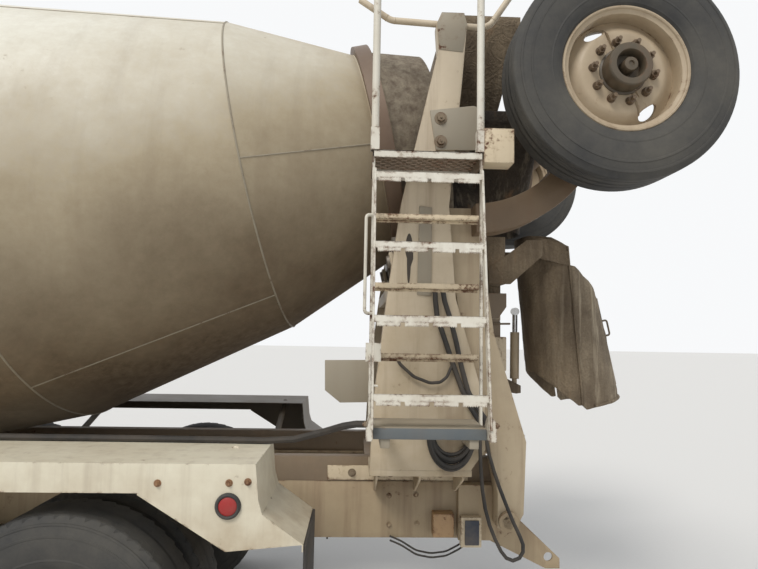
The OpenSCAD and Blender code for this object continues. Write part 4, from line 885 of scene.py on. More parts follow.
def disc(work, centre, side, face, dish):
    """A pressed disc with its flat middle at y = face and its rim dish further out."""
    rings = (BORE, 0.09, 0.12, 0.165, FLAT_RADIUS - 0.012, FLAT_RADIUS, FLAT_RADIUS + 0.008, 0.215, 0.235,
             0.255, DISC_RADIUS)
    points = [Vector((r * math.cos(a), r * math.sin(a))) for r in rings for a in turns(72)]
    edges = []
    outlines = [hole_outline(angle) for angle in HAND_HOLES]
    for outline in outlines:
        points = [p for p in points if min((p - q).length for q in outline) > 0.006]
        first = len(points)
        points += outline
        edges += [(first + k, first + (k + 1) % len(outline)) for k in range(len(outline))]
    found, _, faces, _, _, _ = delaunay_2d_cdt(points, edges, [], 0, 1e-6)

    def height(r):
        share = min(1.0, max(0.0, (r - FLAT_RADIUS) / (DISC_RADIUS - FLAT_RADIUS)))
        return face + dish * (0.25 * share + 0.75 * share * share * (3 - 2 * share))

    verts = [work.verts.new((centre[0] + p.x, centre[1] + side * height(p.length), centre[2] + p.y))
             for p in found]
    made = []
    for corners in faces:
        middle = sum((found[i] for i in corners), Vector((0, 0))) / len(corners)
        if middle.length > BORE and not any(in_outline(middle, outline) for outline in outlines):
            made.append(work.faces.new([verts[i] for i in corners]))
    bmesh.ops.recalc_face_normals(work, faces=made)
    if sum(f.normal.y * side for f in made) < 0:
        bmesh.ops.reverse_faces(work, faces=made)
    bmesh.ops.solidify(work, geom=made, thickness=DISC_WALL)


# %% Band, hubs and wheel
def band(work, centre, width):
    """The rolled band with its two flanges."""
    half = width / 2
    outer = [(0.2965, 0.5), (0.2965, 0.70), (0.3005, 0.735), (0.2975, 0.765), (0.291, 0.77),
             (0.2865, 0.745), (0.284, 0.70), (0.276, 0.66), (0.268, 0.64), (0.2655, 0.58), (0.2655, 0.3)]
    lathe(work, [(r, y * half) for r, y in outer] + [(r, -y * half) for r, y in outer[::-1]], centre)


STEER_HUB = [(0.0, -0.07), (0.115, -0.07), (0.115, 0.08), (0.108, 0.086), (0.08, 0.09), (0.078, 0.10),
             (0.076, 0.16), (0.07, 0.178), (0.058, 0.188), (0.02, 0.19), (0.0, 0.19)]
BOOSTER_HUB = [(0.0, -0.11), (0.112, -0.11), (0.112, 0.066), (0.103, 0.07), (0.103, 0.138), (0.1, 0.146),
               (0.096, 0.15), (0.08, 0.151), (0.069, 0.15), (0.066, 0.144), (0.064, 0.09),
               (0.036, 0.089), (0.033, 0.092), (0.033, 0.142), (0.03, 0.148), (0.014, 0.15),
               (0.012, 0.143), (0.0, 0.143)]
TWIN_HUB = [(0.0, -0.26), (0.115, -0.26), (0.115, -0.05), (0.108, -0.045), (0.08, -0.04), (0.076, 0.03),
            (0.07, 0.048), (0.058, 0.058), (0.02, 0.06), (0.0, 0.06)]
STUD_CIRCLE, STUDS, FIRST_STUD = 0.143, 10, 0.1
CAP_CIRCLE, CAP_BOLTS = 0.05, 8
INNER_FACE, INNER_DISH = 0.168, -0.09
worn_paint("hub_grime", (0.05, 0.042, 0.03), (0.2, 0.15, 0.09), 0.35, 0.5, 0.3)
worn_paint("wheel_nut", (0.13, 0.09, 0.06), (0.25, 0.19, 0.12), 0.4, 0.2, 0.6, metal=0.3)


def bolt_circle(x, y, z, side, radius, count, first=0.0):
    """Bolt spots round a wheel's axle, with y counted outwards from the truck's middle."""
    return [((x + radius * math.cos(a + first), side * y, z + radius * math.sin(a + first)), (0, side, 0))
            for a in turns(count)]


def wheel(name, place, side, body, width, hub, face, dish, twin=None):
    """One body's rims, hub and nuts, its disc's flat middle at face from the wheel's own middle."""
    x, y, z = place
    work = bmesh.new()
    band(work, (x, side * y, z), width)
    disc(work, (x, side * y, z), side, face, dish)
    if twin:
        band(work, (x, side * twin, z), width)
        disc(work, (x, side * twin, z), side, INNER_FACE, INNER_DISH)
    keep(work, name + "_detailed", "rim_paint", body, [name], 30)
    work = bmesh.new()
    lathe(work, hub, (x, side * y, z), side, 64)
    keep(work, name + "_hub", "hub_grime", body, (), 30)
    studs = bolt_circle(x, y + face - 0.001, z, side, STUD_CIRCLE, STUDS, FIRST_STUD)
    bolt_field(name + "_nuts", studs, body, "wheel_nut", Head_radius=0.0185, Head_height=0.024,
               Washer_radius=0.021, Washer_height=0.005, Stub_radius=0.0095, Stub_length=0.024)
    if hub is not BOOSTER_HUB:
        end = max(along for radius, along in hub)
        cap = bolt_circle(x, y + end - 0.004, z, side, CAP_CIRCLE, CAP_BOLTS)
        bolt_field(name + "_cap_bolts", cap, body, "wheel_nut", Head_radius=0.007, Head_height=0.006,
                   Washer_radius=0.009, Washer_height=0.002, Stub_radius=0.003, Stub_length=0.001)


# %% Wheels of every body
for hand, side in SIDES.items():
    wheel("booster_rim_" + hand, BOOSTER_WHEEL, side, "booster_wheel_" + hand, TYRE_WIDTH, BOOSTER_HUB,
          face=0.06, dish=-0.05)
    wheel("steer_rim_" + hand, STEER_WHEEL, side, "steer_wheel_" + hand, STEER_WIDTH, STEER_HUB,
          face=0.095, dish=-0.05)
    for row, x in TANDEM.items():
        wheel("drive_rims_" + row + "_" + hand, (x, TWIN_OUTER, TYRE_RADIUS), side,
              "drive_wheels_" + row + "_" + hand, TYRE_WIDTH, TWIN_HUB, face=-0.156, dish=0.09,
              twin=TWIN_INNER)
print("bodies with wheels:", 2 * (2 + len(TANDEM)))

# %% [markdown]
# ## Ladder and platform
#
# The steps are safety treads: a folded channel whose lower lip is cut into teeth, so that a wet
# boot grips. The platform is punched with staggered slots. Both are pressed parts, so each is
# an outline with its teeth or slots in it, and not a texture.

# %% Safety treads and ladder sides
LADDER = (-3.950, -3.480)
STEP_PITCH = 0.327
FOLD_PIVOT = Vector((0, 1.235, 1.445))
FOLD_LEAN = math.radians(9)


def tooth_edge(x0, x1, z, pitch=0.0095, depth=0.006):
    """Saw-tooth points from x0 to x1 at the level z."""
    count = max(1, round((x1 - x0) / pitch))
    step = (x1 - x0) / count
    edge = []
    for k in range(count):
        edge += [(x0 + k * step, z), (x0 + (k + 0.5) * step, z - depth)]
    return edge + [(x1, z)]


def tread(work, x0, x1, y0, y1, z, height=0.031, lip=0.044, notches=3, wall=0.004, gap=0.017):
    """One safety tread between two ladder sides."""
    block(work, (x0, y1 - wall, z), (x1, y1, z + height))
    block(work, (x0, y0, z + height - wall), (x1, y1, z + height))
    span = (x1 - x0 - (notches + 1) * gap) / (notches + 1)
    for k in range(notches + 1):
        start = x0 + gap * 0.5 + k * (span + gap)
        low = z + height - lip
        outline = [(start, z + 0.002)] + tooth_edge(start, start + span, low) + [(start + span, z + 0.002)]
        plate(work, outline, y1 - wall, y1)


fold_turn = Matrix.Translation(FOLD_PIVOT) @ Matrix.Rotation(FOLD_LEAN, 4, "X")
work = bmesh.new()
for x0 in (LADDER[0] - 0.012, LADDER[1] + 0.002):
    outline = [(x0, -0.022), (x0 + 0.010, -0.022), (x0 + 0.010, 1.115), (x0 + 0.007, 1.12),
               (x0 + 0.003, 1.12), (x0, 1.115)]
    plate(work, outline, -0.02, 0.02)
for k in range(4):
    tread(work, LADDER[0] - 0.002, LADDER[1] + 0.002, -0.02, 0.02, 0.09 + k * STEP_PITCH)
soften(work, 0.0012, 1)
bmesh.ops.transform(work, matrix=fold_turn, verts=work.verts)
keep(work, "fold_ladder_detailed", "ladder_paint", "ladder", ["fold_ladder"])
print("folding ladder's step pitch:", STEP_PITCH)

# %% Platform
PLATFORM_Z = 2.650
COLUMN_FACE = 0.722
FIXED_Y = (1.000, 1.035)


def slotted_floor(work, x0, x1, y0, y1, z, wall=0.006):
    """A floor of bars between staggered slots, as seen from below."""
    rows, columns = 9, 10
    depth = (y1 - y0) / rows
    for row in range(rows + 1):
        y = y0 + row * depth
        block(work, (x0, y - 0.007, z - wall), (x1, y + 0.007, z))
    pitch = (x1 - x0) / columns
    for row in range(rows):
        shift = pitch / 2 * (row % 2)
        for k in range(columns + 1):
            x = x0 + k * pitch + shift
            low, high = max(x0, x - 0.009), min(x1, x + 0.009)
            if high > low:
                y = y0 + row * depth
                block(work, (low, y + 0.006, z - wall + 0.0005), (high, y + depth - 0.006, z - 0.0005))


work = bmesh.new()
slotted_floor(work, LADDER[0] - 0.014, LADDER[1] + 0.014, COLUMN_FACE + 0.01, FIXED_Y[0], PLATFORM_Z)
for x in (LADDER[0] - 0.020, LADDER[1] + 0.014):
    block(work, (x, COLUMN_FACE, PLATFORM_Z - 0.058), (x + 0.006, FIXED_Y[1], PLATFORM_Z))
keep(work, "platform_floor", "platform_steel", "chassis")
print("platform height:", PLATFORM_Z)

# %% Fixed ladder with its rail and brackets
work = bmesh.new()
for y0, y1, drop in ((FIXED_Y[1] - 0.005, FIXED_Y[1], 0.034), (*FIXED_Y, 0.006),
                     (COLUMN_FACE, COLUMN_FACE + 0.008, 0.06)):
    block(work, (LADDER[0] - 0.02, y0, PLATFORM_Z - drop), (LADDER[1] + 0.02, y1, PLATFORM_Z))
for x in (LADDER[0] - 0.020, LADDER[1] + 0.008):
    block(work, (x, FIXED_Y[0] + 0.006, 1.38), (x + 0.012, FIXED_Y[1] - 0.006, PLATFORM_Z - 0.002))
soften(work, 0.0015, 1)
rail_x = (LADDER[0] - 0.010, LADDER[1] + 0.010)
rail_path = rounded([(rail_x[0], 1.015, PLATFORM_Z), (rail_x[0], 1.015, 3.69), (rail_x[1], 1.015, 3.69),
                     (rail_x[1], 1.015, PLATFORM_Z)], 0.07, 8)
tube(work, rail_path, 0.0175, 14)
for x in rail_x:
    block(work, (x - 0.020, 0.993, PLATFORM_Z), (x + 0.020, 1.040, PLATFORM_Z + 0.105))
grab = [(-3.472, 1.03, 2.345), (-3.436, 1.05, 2.345), (-3.436, 1.05, 1.90), (-3.472, 1.03, 1.90)]
tube(work, rounded(grab, 0.02), 0.0075, 10)
latch_bar = [(-3.462, 1.075, 1.72), (-3.466, 1.08, 1.588), (-3.50, 1.08, 1.584)]
tube(work, rounded(latch_bar, 0.02), 0.005, 8)
block(work, (-3.512, 1.062, 1.688), (-3.444, 1.070, 1.77))
for x in (LADDER[0] - 0.030, LADDER[1] + 0.004):
    outline = [(x, 1.38), (x + 0.026, 1.38), (x + 0.026, 1.43), (x + 0.014, 1.475),
               (x + 0.004, 1.465), (x, 1.43)]
    plate(work, outline, 1.14, 1.250)
keep(work, "fixed_ladder_detailed", "ladder_paint", "chassis", ["fixed_ladder"])
print("points of the rail:", len(rail_path))

# %% Rungs and steps
work = bmesh.new()
for z in (1.7, 2.015, 2.33):
    block(work, (LADDER[0], FIXED_Y[0], z), (LADDER[1], FIXED_Y[1], z + 0.004))
    block(work, (LADDER[0], FIXED_Y[1] - 0.004, z), (LADDER[1], FIXED_Y[1], z + 0.025))
    block(work, (LADDER[0], FIXED_Y[0], z - 0.012), (LADDER[1], FIXED_Y[0] + 0.004, z + 0.004))
block(work, (-4.110, 0.935, 2.601), (LADDER[0] - 0.022, 1.045, 2.763))
soften(work)
keep(work, "fixed_rungs_and_plate_box", "tan_paint", "chassis")

work = bmesh.new()
block(work, (LADDER[0], 0.94, 1.381), (LADDER[1], 1.196, 1.427))
for x in (-3.92, -3.55):
    block(work, (x, COLUMN_FACE, 1.34), (x + 0.04, 1.19, 1.381))
soften(work, 0.004)
keep(work, "bottom_step", "step_paint", "chassis")
work = bmesh.new()
block(work, (LADDER[0] - 0.001, 1.192, 1.379), (LADDER[1] + 0.001, 1.2, 1.424))
soften(work, 0.003)
keep(work, "step_face", "step_blue", "chassis")
pivots = [((x, FOLD_PIVOT.y, FOLD_PIVOT.z), (side, 0, 0))
          for x, side in ((LADDER[0] - 0.027, -1), (LADDER[1] + 0.027, 1))]
bolt_field("ladder_pivot_bolts", pivots, "chassis", Head_radius=0.012, Head_height=0.009, Washer_radius=0.018)
print("ladder pieces made")

# %% [markdown]
# ## Chutes with their crust
#
# Both chutes hang full of years of splashed concrete. Under it each is a rolled trough with a
# flanged rim. The trough is extruded from its section along its own axis, cut at its slanted
# ends, subdivided and pushed outwards by smooth noise, thickest where slurry drips.

# %% Trough maker
LIFT_PIN = Vector((-4.455, 0, 2.330))
CHUTE_LEAN = math.radians(5)
FOLD_HINGE = Vector((-4.737, 0, 1.400))
FOLD_CHUTE_LEAN = math.radians(12)
CHUTE_BACK = 0.201
TROUGH_WALL = 0.006
LIP = 0.008
HALF_TURN = [math.pi * k / 24 for k in range(25)]


def hanging_frame(origin, lean):
    """Local x down the hanging chute, z to its open rear side, as on the CAD part."""
    return Matrix.Translation(origin) @ Matrix.Rotation(math.pi / 2 + lean, 4, "Y")


def trough_section(radius, side):
    """Closed y, z outline of a half-round trough with straight sides and a rolled lip."""
    edge = radius + TROUGH_WALL
    inner, outer = ([(r * math.cos(a), r * math.sin(a)) for a in HALF_TURN] for r in (radius, edge))
    start = [(radius, -side), (edge + LIP, -side), (edge + LIP, -side + LIP), (edge, -side + LIP)]
    return start + outer + [(-y, z) for y, z in start[::-1]] + inner[::-1]


def extruded(work, section, x0, x1, steps, flip):
    """The section swept along local x. flip sends the trough's bowl towards -z or +z."""
    rings = [[work.verts.new((x0 + (x1 - x0) * i / steps, y, flip * z)) for y, z in section]
             for i in range(steps + 1)]
    skin(work, zip(rings, rings[1:]))
    for ring in (rings[0], rings[-1]):
        work.faces.new(ring)
    bmesh.ops.recalc_face_normals(work, faces=work.faces)


def split(work, point, normal, clear=False):
    """Splits the faces at a plane, and clears what lies past it if asked."""
    everything = work.verts[:] + work.edges[:] + work.faces[:]
    bmesh.ops.bisect_plane(work, geom=everything, plane_co=point, plane_no=normal, clear_outer=clear)


def cut(work, point, normal):
    """Cuts away what lies past a plane and closes the cut."""
    split(work, point, normal, True)
    bmesh.ops.holes_fill(work, edges=[e for e in work.edges if e.is_boundary], sides=0)


def nose_cuts(work, frame, cuts):
    """Rounds a trough's end with cuts, each a turn in degrees and its place along and across."""
    for turn, along, across in cuts:
        tilt = math.radians(turn)
        direction = frame.to_3x3() @ Vector((-math.cos(tilt), 0, -math.sin(tilt)))
        cut(work, frame @ Vector((along, 0, across)), direction)


# %% Crust maker
LONGEST_EDGE = 0.022


def encrust(work, thick, scale, seed, drip):
    """Splits long faces and pushes the surface out by smooth noise."""
    bmesh.ops.triangulate(work, faces=[f for f in work.faces if len(f.verts) > 4])
    for _ in range(2):
        long_edges = [e for e in work.edges if e.calc_length() > LONGEST_EDGE]
        bmesh.ops.subdivide_edges(work, edges=long_edges, cuts=1, use_grid_fill=True)
    work.normal_update()
    moves = []
    for v in work.verts:
        spot = v.co * scale + Vector((seed, 0, 0))
        lump = value_noise.fractal(spot, 0.9, 2.0, 4) * 0.5 + 0.35
        flow = value_noise.noise(Vector((v.co.x * 3, v.co.y * 14, v.co.z * 2.2 + v.co.x * 9 + seed)))
        moves.append(v.normal * (max(0.0, lump) * thick + max(0.0, flow) * drip))
    for v, move in zip(work.verts, moves):
        v.co += move


# %% Main chute
LUG = ((0.045, -CHUTE_BACK), (0.120, -CHUTE_BACK), (0.050, 0.020), (0.020, 0.040), (-0.020, 0.040),
       (-0.042, 0.020), (-0.058, -0.030), (-0.048, -0.090), (-0.010, -0.160))
MAIN_END, MAIN_SLANT = Vector((-4.445, 0, 1.624)), Vector((0.629, 0, -0.777))
main_frame = hanging_frame(LIFT_PIN, CHUTE_LEAN)
work = bmesh.new()
extruded(work, trough_section(0.236, 0.0), -0.09, 0.94, 40, 1)
bmesh.ops.translate(work, vec=(0, 0, -CHUTE_BACK), verts=work.verts)
bmesh.ops.transform(work, matrix=main_frame, verts=work.verts)
cut(work, MAIN_END, MAIN_SLANT)
nose_cuts(work, main_frame, [(turn, -0.09 + 0.3 * across * across, across)
                             for turn, across in ((14, 0.0), (36, -0.075), (58, -0.16))])
encrust(work, 0.007, 9.0, 3.0, 0.004)
for hand in SIDES.values():
    near, far = ([main_frame @ Vector((x, y, z)) for x, z in LUG]
                 for y in sorted((hand * 0.238, hand * 0.249)))
    prism(work, near, far)
main_trough = keep(work, "main_chute_crusted", "cement_steel", "chute", ["main_chute"], 60)
print("faces of the main chute:", len(main_trough.data.polygons))

# %% Folding chute, its straight sides closed against the main chute's rims
FOLD_BACK = 0.075
FOLD_END, FOLD_SLANT = Vector((-4.745, 0, 1.410)), Vector((0.72, 0, -0.69))
fold_frame = hanging_frame(FOLD_HINGE, FOLD_CHUTE_LEAN)
work = bmesh.new()
extruded(work, trough_section(0.216, 0.11), -0.91, 0.02, 46, -1)
bmesh.ops.translate(work, vec=(0, 0, -FOLD_BACK), verts=work.verts)
bmesh.ops.transform(work, matrix=fold_frame, verts=work.verts)
nose_cuts(work, fold_frame, ((30, -0.905, 0.02), (50, -0.875, -0.085), (68, -0.80, -0.185)))
cut(work, main_frame @ Vector((0, 0, -CHUTE_BACK - 0.010)), main_frame.to_3x3() @ Vector((0, 0, 1)))
cut(work, FOLD_END, FOLD_SLANT)
encrust(work, 0.011, 7.0, 8.0, 0.014)
lip_path = [(0.012, 0.226 * math.cos(a), -FOLD_BACK - 0.226 * math.sin(a)) for a in HALF_TURN]
spine = [(-0.60, 0, -0.318), (-0.05, 0, -0.318)]
handle = rounded([(-0.455, 0.02, -0.30), (-0.455, 0.02, -0.345), (-0.36, 0.02, -0.345), (-0.36, 0.02, -0.30)],
                 0.015)
feet = [([(x, 0, -0.296), (x, 0, -0.318)], 0.006, 6) for x in (-0.58, -0.32, -0.07)]
for path, radius, sides in [(lip_path, 0.009, 8), (spine, 0.008, 8)] + feet + [(handle, 0.006, 8)]:
    tube(work, [fold_frame @ Vector(spot) for spot in path], radius, sides)
fold_trough = keep(work, "fold_chute_crusted", "cement_fold", "chute_extension",
                   ["fold_chute"], 60)
print("faces of the folding chute:", len(fold_trough.data.polygons))

# %% [markdown]
# ## Rear frame and column details
#
# On the column and the frame sit a cap, a clamp plate, a doubler, a guard flap, a strip and a
# rusty block. They are welded or bolted on, so each is cut from an outline or made as a block
# with its edges softened, and the bolts come from the shared bolt tree.

# %% Column plates, slot and guard flap
CAP = [(-3.791, 3.44), (-3.816, 3.499), (-3.934, 3.499), (-3.949, 3.44), (-3.928, 3.285), (-3.803, 3.295)]
BRACKET = [(-3.757, 2.963), (-3.985, 2.994), (-4.008, 2.985), (-4.016, 2.962), (-4.017, 2.76), (-3.79, 2.753)]
DOUBLER = [(-3.702, 2.008), (-3.774, 2.004), (-3.774, 2.455), (-3.709, 2.462)]
FLAP = [(-3.241, 1.668), (-3.474, 1.672), (-3.478, 1.456), (-3.324, 1.452), (-3.245, 1.514)]
work = bmesh.new()
for outline, near, far in ((CAP, 0.722, 0.7245), (BRACKET, 0.7225, 0.733), (DOUBLER, 0.7225, 0.730),
                           (FLAP, 0.600, 0.608)):
    plate(work, outline, near, far)
soften(work)
keep(work, "grey_plates", "step_paint", "chassis")
work = bmesh.new()
# The slot is a thin near-black plate on the column face: painted shade of the opening's dark inside.
slot_outline = [(-3.659 + 0.022 * math.cos(a) * (1.0 if math.sin(a) > 0 else 0.45),
                 2.19 + 0.13 * math.sin(a)) for a in turns(20)]
plate(work, slot_outline, 0.7222, 0.7236)
keep(work, "column_slot", "slot_shade_black", "chassis")
print("corners of the slot:", len(slot_outline))

# %% Frame strip and rusty block
work = bmesh.new()
for hand in SIDES.values():
    side_block(work, hand, (-4.02, 0.431, 1.022), (-3.26, 0.439, 1.098))
soften(work)
keep(work, "frame_strip", "tan_paint", "chassis")
work = bmesh.new()
block(work, (-3.936, 0.431, 0.745), (-3.824, 0.505, 0.866))
soften(work, 0.006)
keep(work, "rusty_block", "rust_block", "chassis")
print("strips:", len(SIDES))

# %% Bolts at the rear
def side_spots(y, places, hands=(1, -1)):
    """Bolt spots on upright faces, y away from the truck's middle plane."""
    return [((x, hand * y, z), (0, hand, 0)) for hand in hands for x, z in places]


STRIP = ((-3.868, 1.06), (-3.392, 1.06), (-3.532, 1.06), (-3.60, 1.06))
WEB = ((-3.594, 0.939), (-3.739, 0.946), (-3.596, 0.788), (-3.746, 0.794), (-3.05, 0.94), (-3.05, 0.79),
       (-2.55, 0.94), (-2.55, 0.79))
FENDER_FACE = 1.2145
FENDER = ((-2.904, 1.203), (-2.979, 1.208), (-2.62, 1.2), (-1.9, 1.2), (-1.2, 1.2))
bolt_field("strip_bolts", side_spots(0.439, STRIP, (1,)) + side_spots(0.439, STRIP[:3], (-1,)), "chassis",
           Head_radius=0.016, Head_height=0.012, Washer_radius=0.022)
bolt_field("web_bolts", side_spots(0.4305, WEB), "chassis", "frame_paint", Head_radius=0.011,
           Head_height=0.007, Washer_radius=0.015)
bolt_field("bracket_bolts", side_spots(0.733, ((-3.813, 2.921), (-3.814, 2.799)), (1,)), "chassis",
           Head_radius=0.021, Head_height=0.014, Washer_radius=0.033, Washer_height=0.005)
bolt_field("fender_bolts", side_spots(FENDER_FACE, FENDER), "chassis", "rust_bolt", Head_radius=0.011,
           Head_height=0.006, Washer_radius=0.015)
bolt_field("arm_pivot_bolts", side_spots(0.613, ((-4.194, 0.868),)), "booster", Head_radius=0.036,
           Head_height=0.020, Washer_radius=0.052, Washer_height=0.005)

# %% [markdown]
# ## Lamps at the rear
#
# The round lamp is a crimson lens in a thick rubber grommet, the box at the frame's end carries
# a small dark one. A turned profile gives the grommet its rounded lip and the lens its dome.

# %% Rear lamps
LAMP_X, LAMP_Y, LAMP_Z = -2.903, FENDER_FACE, 1.113
GROMMET = [(0.052, 0.0), (0.052, 0.006), (0.049, 0.012), (0.044, 0.015), (0.039, 0.013), (0.037, 0.008),
           (0.037, 0.0)]
LENS = [(0.037, 0.003), (0.037, 0.009), (0.030, 0.0125), (0.016, 0.0148), (0.0, 0.0155)]
lens_work, bezel_work, box_work, dark_work = (bmesh.new() for _ in range(4))
for hand in SIDES.values():
    for work, profile in ((bezel_work, GROMMET), (lens_work, LENS)):
        lathe(work, profile, (LAMP_X, hand * LAMP_Y, LAMP_Z), hand, 40)
    side_block(box_work, hand, (-4.074, 0.496, 0.708), (-3.965, 0.540, 0.861))
    side_block(dark_work, hand, (-4.060, 0.540, 0.722), (-3.985, 0.549, 0.847))
soften(box_work, 0.005)
soften(dark_work, 0.004)
keep(lens_work, "round_lenses", "lamp_red", "chassis", ["tail_lamps"])
keep(bezel_work, "lamp_grommets", "tyre", "chassis")
keep(box_work, "lamp_boxes", "tan_paint", "chassis")
keep(dark_work, "box_lenses", "lamp_blue", "chassis")
print("lamp height:", LAMP_Z)

# %% [markdown]
# ## Gearbox, rod and hoses
#
# Beside the chute post a cream gearbox turns the chute; hoses drop from the column to their
# bracket behind the step. Hoses bend in smooth arcs, so they are tubes swept along rounded
# routes.

# %% Gearbox and its bracket
work = bmesh.new()
block(work, (-4.290, 0.095, 1.600), (-4.150, 0.215, 1.800))
block(work, (-4.285, 0.100, 1.585), (-4.155, 0.210, 1.603))
lathe(work, [(0.0, 0.0), (0.04, 0.0), (0.04, 0.008), (0.0, 0.008)], (-4.22, 0.215, 1.70), 1, 32)
for z, radius in ((1.585, 0.040), (1.56, 0.034)):
    tube(work, [(-4.22, 0.155, z), (-4.22, 0.155, z - 0.03)], radius, 20)
soften(work, 0.005)
keep(work, "chute_gearbox", "tan_paint", "chassis")
work = bmesh.new()
block(work, (-4.26, 0.150, 1.79), (-4.18, 0.175, 1.905))
plate(work, [(-4.11, 1.91), (-4.11, 2.05), (-4.20, 2.062), (-4.30, 2.062), (-4.30, 1.98), (-4.25, 1.91)],
      0.165, 0.177)
tube(work, [(-4.15, 0.185, 1.875), (-4.32, 0.185, 1.879)], 0.006, 8)
soften(work, 0.001, 1)
keep(work, "gearbox_bracket", "chassis_dust", "chassis")
print("gearbox made")

# %% Hoses and their bracket
column_routes = [
    [(-3.790, 0.722, 2.03), (-3.790, 0.748, 2.03), (-3.792, 0.747, 1.98), (-3.802, 0.745, 1.9),
     (-3.84, 0.745, 1.79), (-3.885, 0.745, 1.66), (-3.93, 0.745, 1.54), (-3.972, 0.745, 1.455),
     (-4.012, 0.745, 1.395), (-4.02, 0.745, 1.345)],
    [(-3.830, 0.722, 2.03), (-3.830, 0.748, 2.03), (-3.838, 0.747, 1.98), (-3.868, 0.745, 1.89),
     (-3.90, 0.745, 1.77), (-3.926, 0.745, 1.65), (-3.96, 0.745, 1.53), (-4.004, 0.745, 1.455),
     (-4.045, 0.745, 1.4), (-4.052, 0.745, 1.345)],
    [(-3.60, 0.722, 1.70), (-3.60, 0.748, 1.70), (-3.62, 0.748, 1.66), (-3.69, 0.75, 1.60),
     (-3.769, 0.752, 1.571), (-3.82, 0.75, 1.575), (-3.853, 0.746, 1.60), (-3.88, 0.744, 1.66)]]
work = bmesh.new()
for route_points, radius in zip(column_routes, (0.013, 0.013, 0.008)):
    tube(work, rounded(route_points, 0.012, 3), radius, 10)
for turn in range(5):
    coil = [(-3.877 + (0.112 - 0.006 * turn) * math.cos(a), 0.748 + 0.016 * (turn % 2),
             1.318 + (0.165 - 0.018 * turn) * math.sin(a))
            for a in (math.pi * (1.02 + 0.96 * k / 24) for k in range(25))]
    tube(work, coil, 0.010, 8)
keep(work, "column_hoses", "rubber", "chassis")
work = bmesh.new()
block(work, (-4.075, 0.7225, 1.3295), (-4.000, 0.765, 1.3455))
block(work, (-3.995, 0.735, 1.305), (-3.765, 0.775, 1.335))
for x in (-4.052, -4.020):
    tube(work, [(x, 0.745, 1.325), (x, 0.745, 1.36)], 0.0165, 12)
soften(work, 0.002, 1)
keep(work, "hose_bracket", "chassis_dust", "chassis")
print("hoses on the column:", len(column_routes))

# %% Lamp wires
work = bmesh.new()
wire = [(-3.60, 0.450, 0.735), (-3.66, 0.455, 0.712), (-3.74, 0.46, 0.665), (-3.82, 0.46, 0.65),
        (-3.90, 0.46, 0.66), (-3.97, 0.47, 0.70), (-4.0, 0.50, 0.74)]
for drop in (0.0, 0.016):
    tube(work, rounded([(x, y + drop, z - drop) for x, y, z in wire], 0.02), 0.005, 8)
keep(work, "lamp_wires", "rubber", "chassis")
print("points of a wire:", len(wire))

# %% [markdown]
# ## Drum weld seams
#
# The drum is rolled from several shells, and each joint shows as a thin raised weld. They are
# part of the surface, so they run as half-sunk beads on exactly the drum's own profile.

# %% Drum welds
DRUM = Matrix.Translation(DRUM_CENTRE) @ Matrix.Rotation(DRUM_TILT, 4, "Y")
SHELL_ENDS = ((-0.056, 0.649), (0.621, 0.935), (1.853, 1.219), (2.70, 1.219))
LONG_SEAMS = ((0, -8), (0, 115), (1, -55), (1, 53), (1, 180), (2, 20), (2, 200))
BEAD_SUNK = 0.001


def on_drum(along, radius, angle):
    """A point on the drum, the angle counted upwards from the left side."""
    turn = math.radians(angle)
    return DRUM @ Vector((along, radius * math.cos(turn), radius * math.sin(turn)))


work = bmesh.new()
for along, radius in SHELL_ENDS[1:]:
    tube(work, [on_drum(along, radius - BEAD_SUNK, 3 * k) for k in range(121)], 0.0055, 6)
for shell, angle in LONG_SEAMS:
    (x0, r0), (x1, r1) = SHELL_ENDS[shell:shell + 2]
    seam = [on_drum(x0 + (x1 - x0) * k / 12, r0 + (r1 - r0) * k / 12 - BEAD_SUNK, angle) for k in range(13)]
    tube(work, seam, 0.0045, 6)
keep(work, "drum_welds", "weld_bead", "drum")
print("weld seams:", len(SHELL_ENDS[1:]) + len(LONG_SEAMS))

# %% [markdown]
# ## Fenders
#
# The fenders over the driven wheels are bent sheet: pale and washed on the left, dark on the
# right. They are one CAD solid, so each copy keeps the faces of its own side.

# %% Left and right fender
for hand, name, finish in ((1, "fender_left", "fender_paint"), (-1, "fender_right", "fender_dark")):
    work = bmesh.new()
    work.from_mesh(nodes["rear_fenders"].data)
    far = [f for f in work.faces if f.calc_center_median().y * hand < 0]
    bmesh.ops.delete(work, geom=far, context="FACES")
    soften(work, 0.004, 2, 50)
    keep(work, name, finish, "chassis", ["rear_fenders"] if hand > 0 else [])

# %% [markdown]
# ## Column foot
#
# Under the column a welded shelf on gussets carries its foot out over the frame rail. The CAD
# solid has a plain block there, so the block is cut off the copy and the plates are put in.

# %% Column foot on gussets
FOOT_TOP, FRAME_SIDE = 1.1422, 0.4308
work = tidy(nodes["rear_pedestal"].data)
split(work, (0, 0, FOOT_TOP), (0, 0, 1))
for hand in SIDES.values():
    split(work, (0, hand * FRAME_SIDE, 0), (0, 1, 0))
middles = [(f, f.calc_center_median()) for f in work.faces]
block_faces = [f for f, middle in middles
               if abs(middle.y) > FRAME_SIDE + 0.0001 and middle.z < FOOT_TOP - 0.0001]
bmesh.ops.delete(work, geom=block_faces, context="FACES")
open_edges = [e for e in work.edges if e.is_boundary
              and all(abs(v.co.z - FOOT_TOP) < 0.0002 for v in e.verts)]
bmesh.ops.holes_fill(work, edges=open_edges, sides=0)
print("block faces cut off:", len(block_faces), "edges closed:", len(open_edges))
GUSSET = ((0.431, 1.112), (0.70, 1.112), (0.70, 1.09), (0.47, 0.975), (0.431, 0.975))
for hand in SIDES.values():
    side_block(work, hand, (-3.985, 0.431, 1.112), (-3.478, 0.722, 1.1425))
    for x in (-3.945, -3.73, -3.515):
        near, far = ([(x + half, hand * y, z) for y, z in GUSSET] for half in (-0.006, 0.006))
        prism(work, near, far)
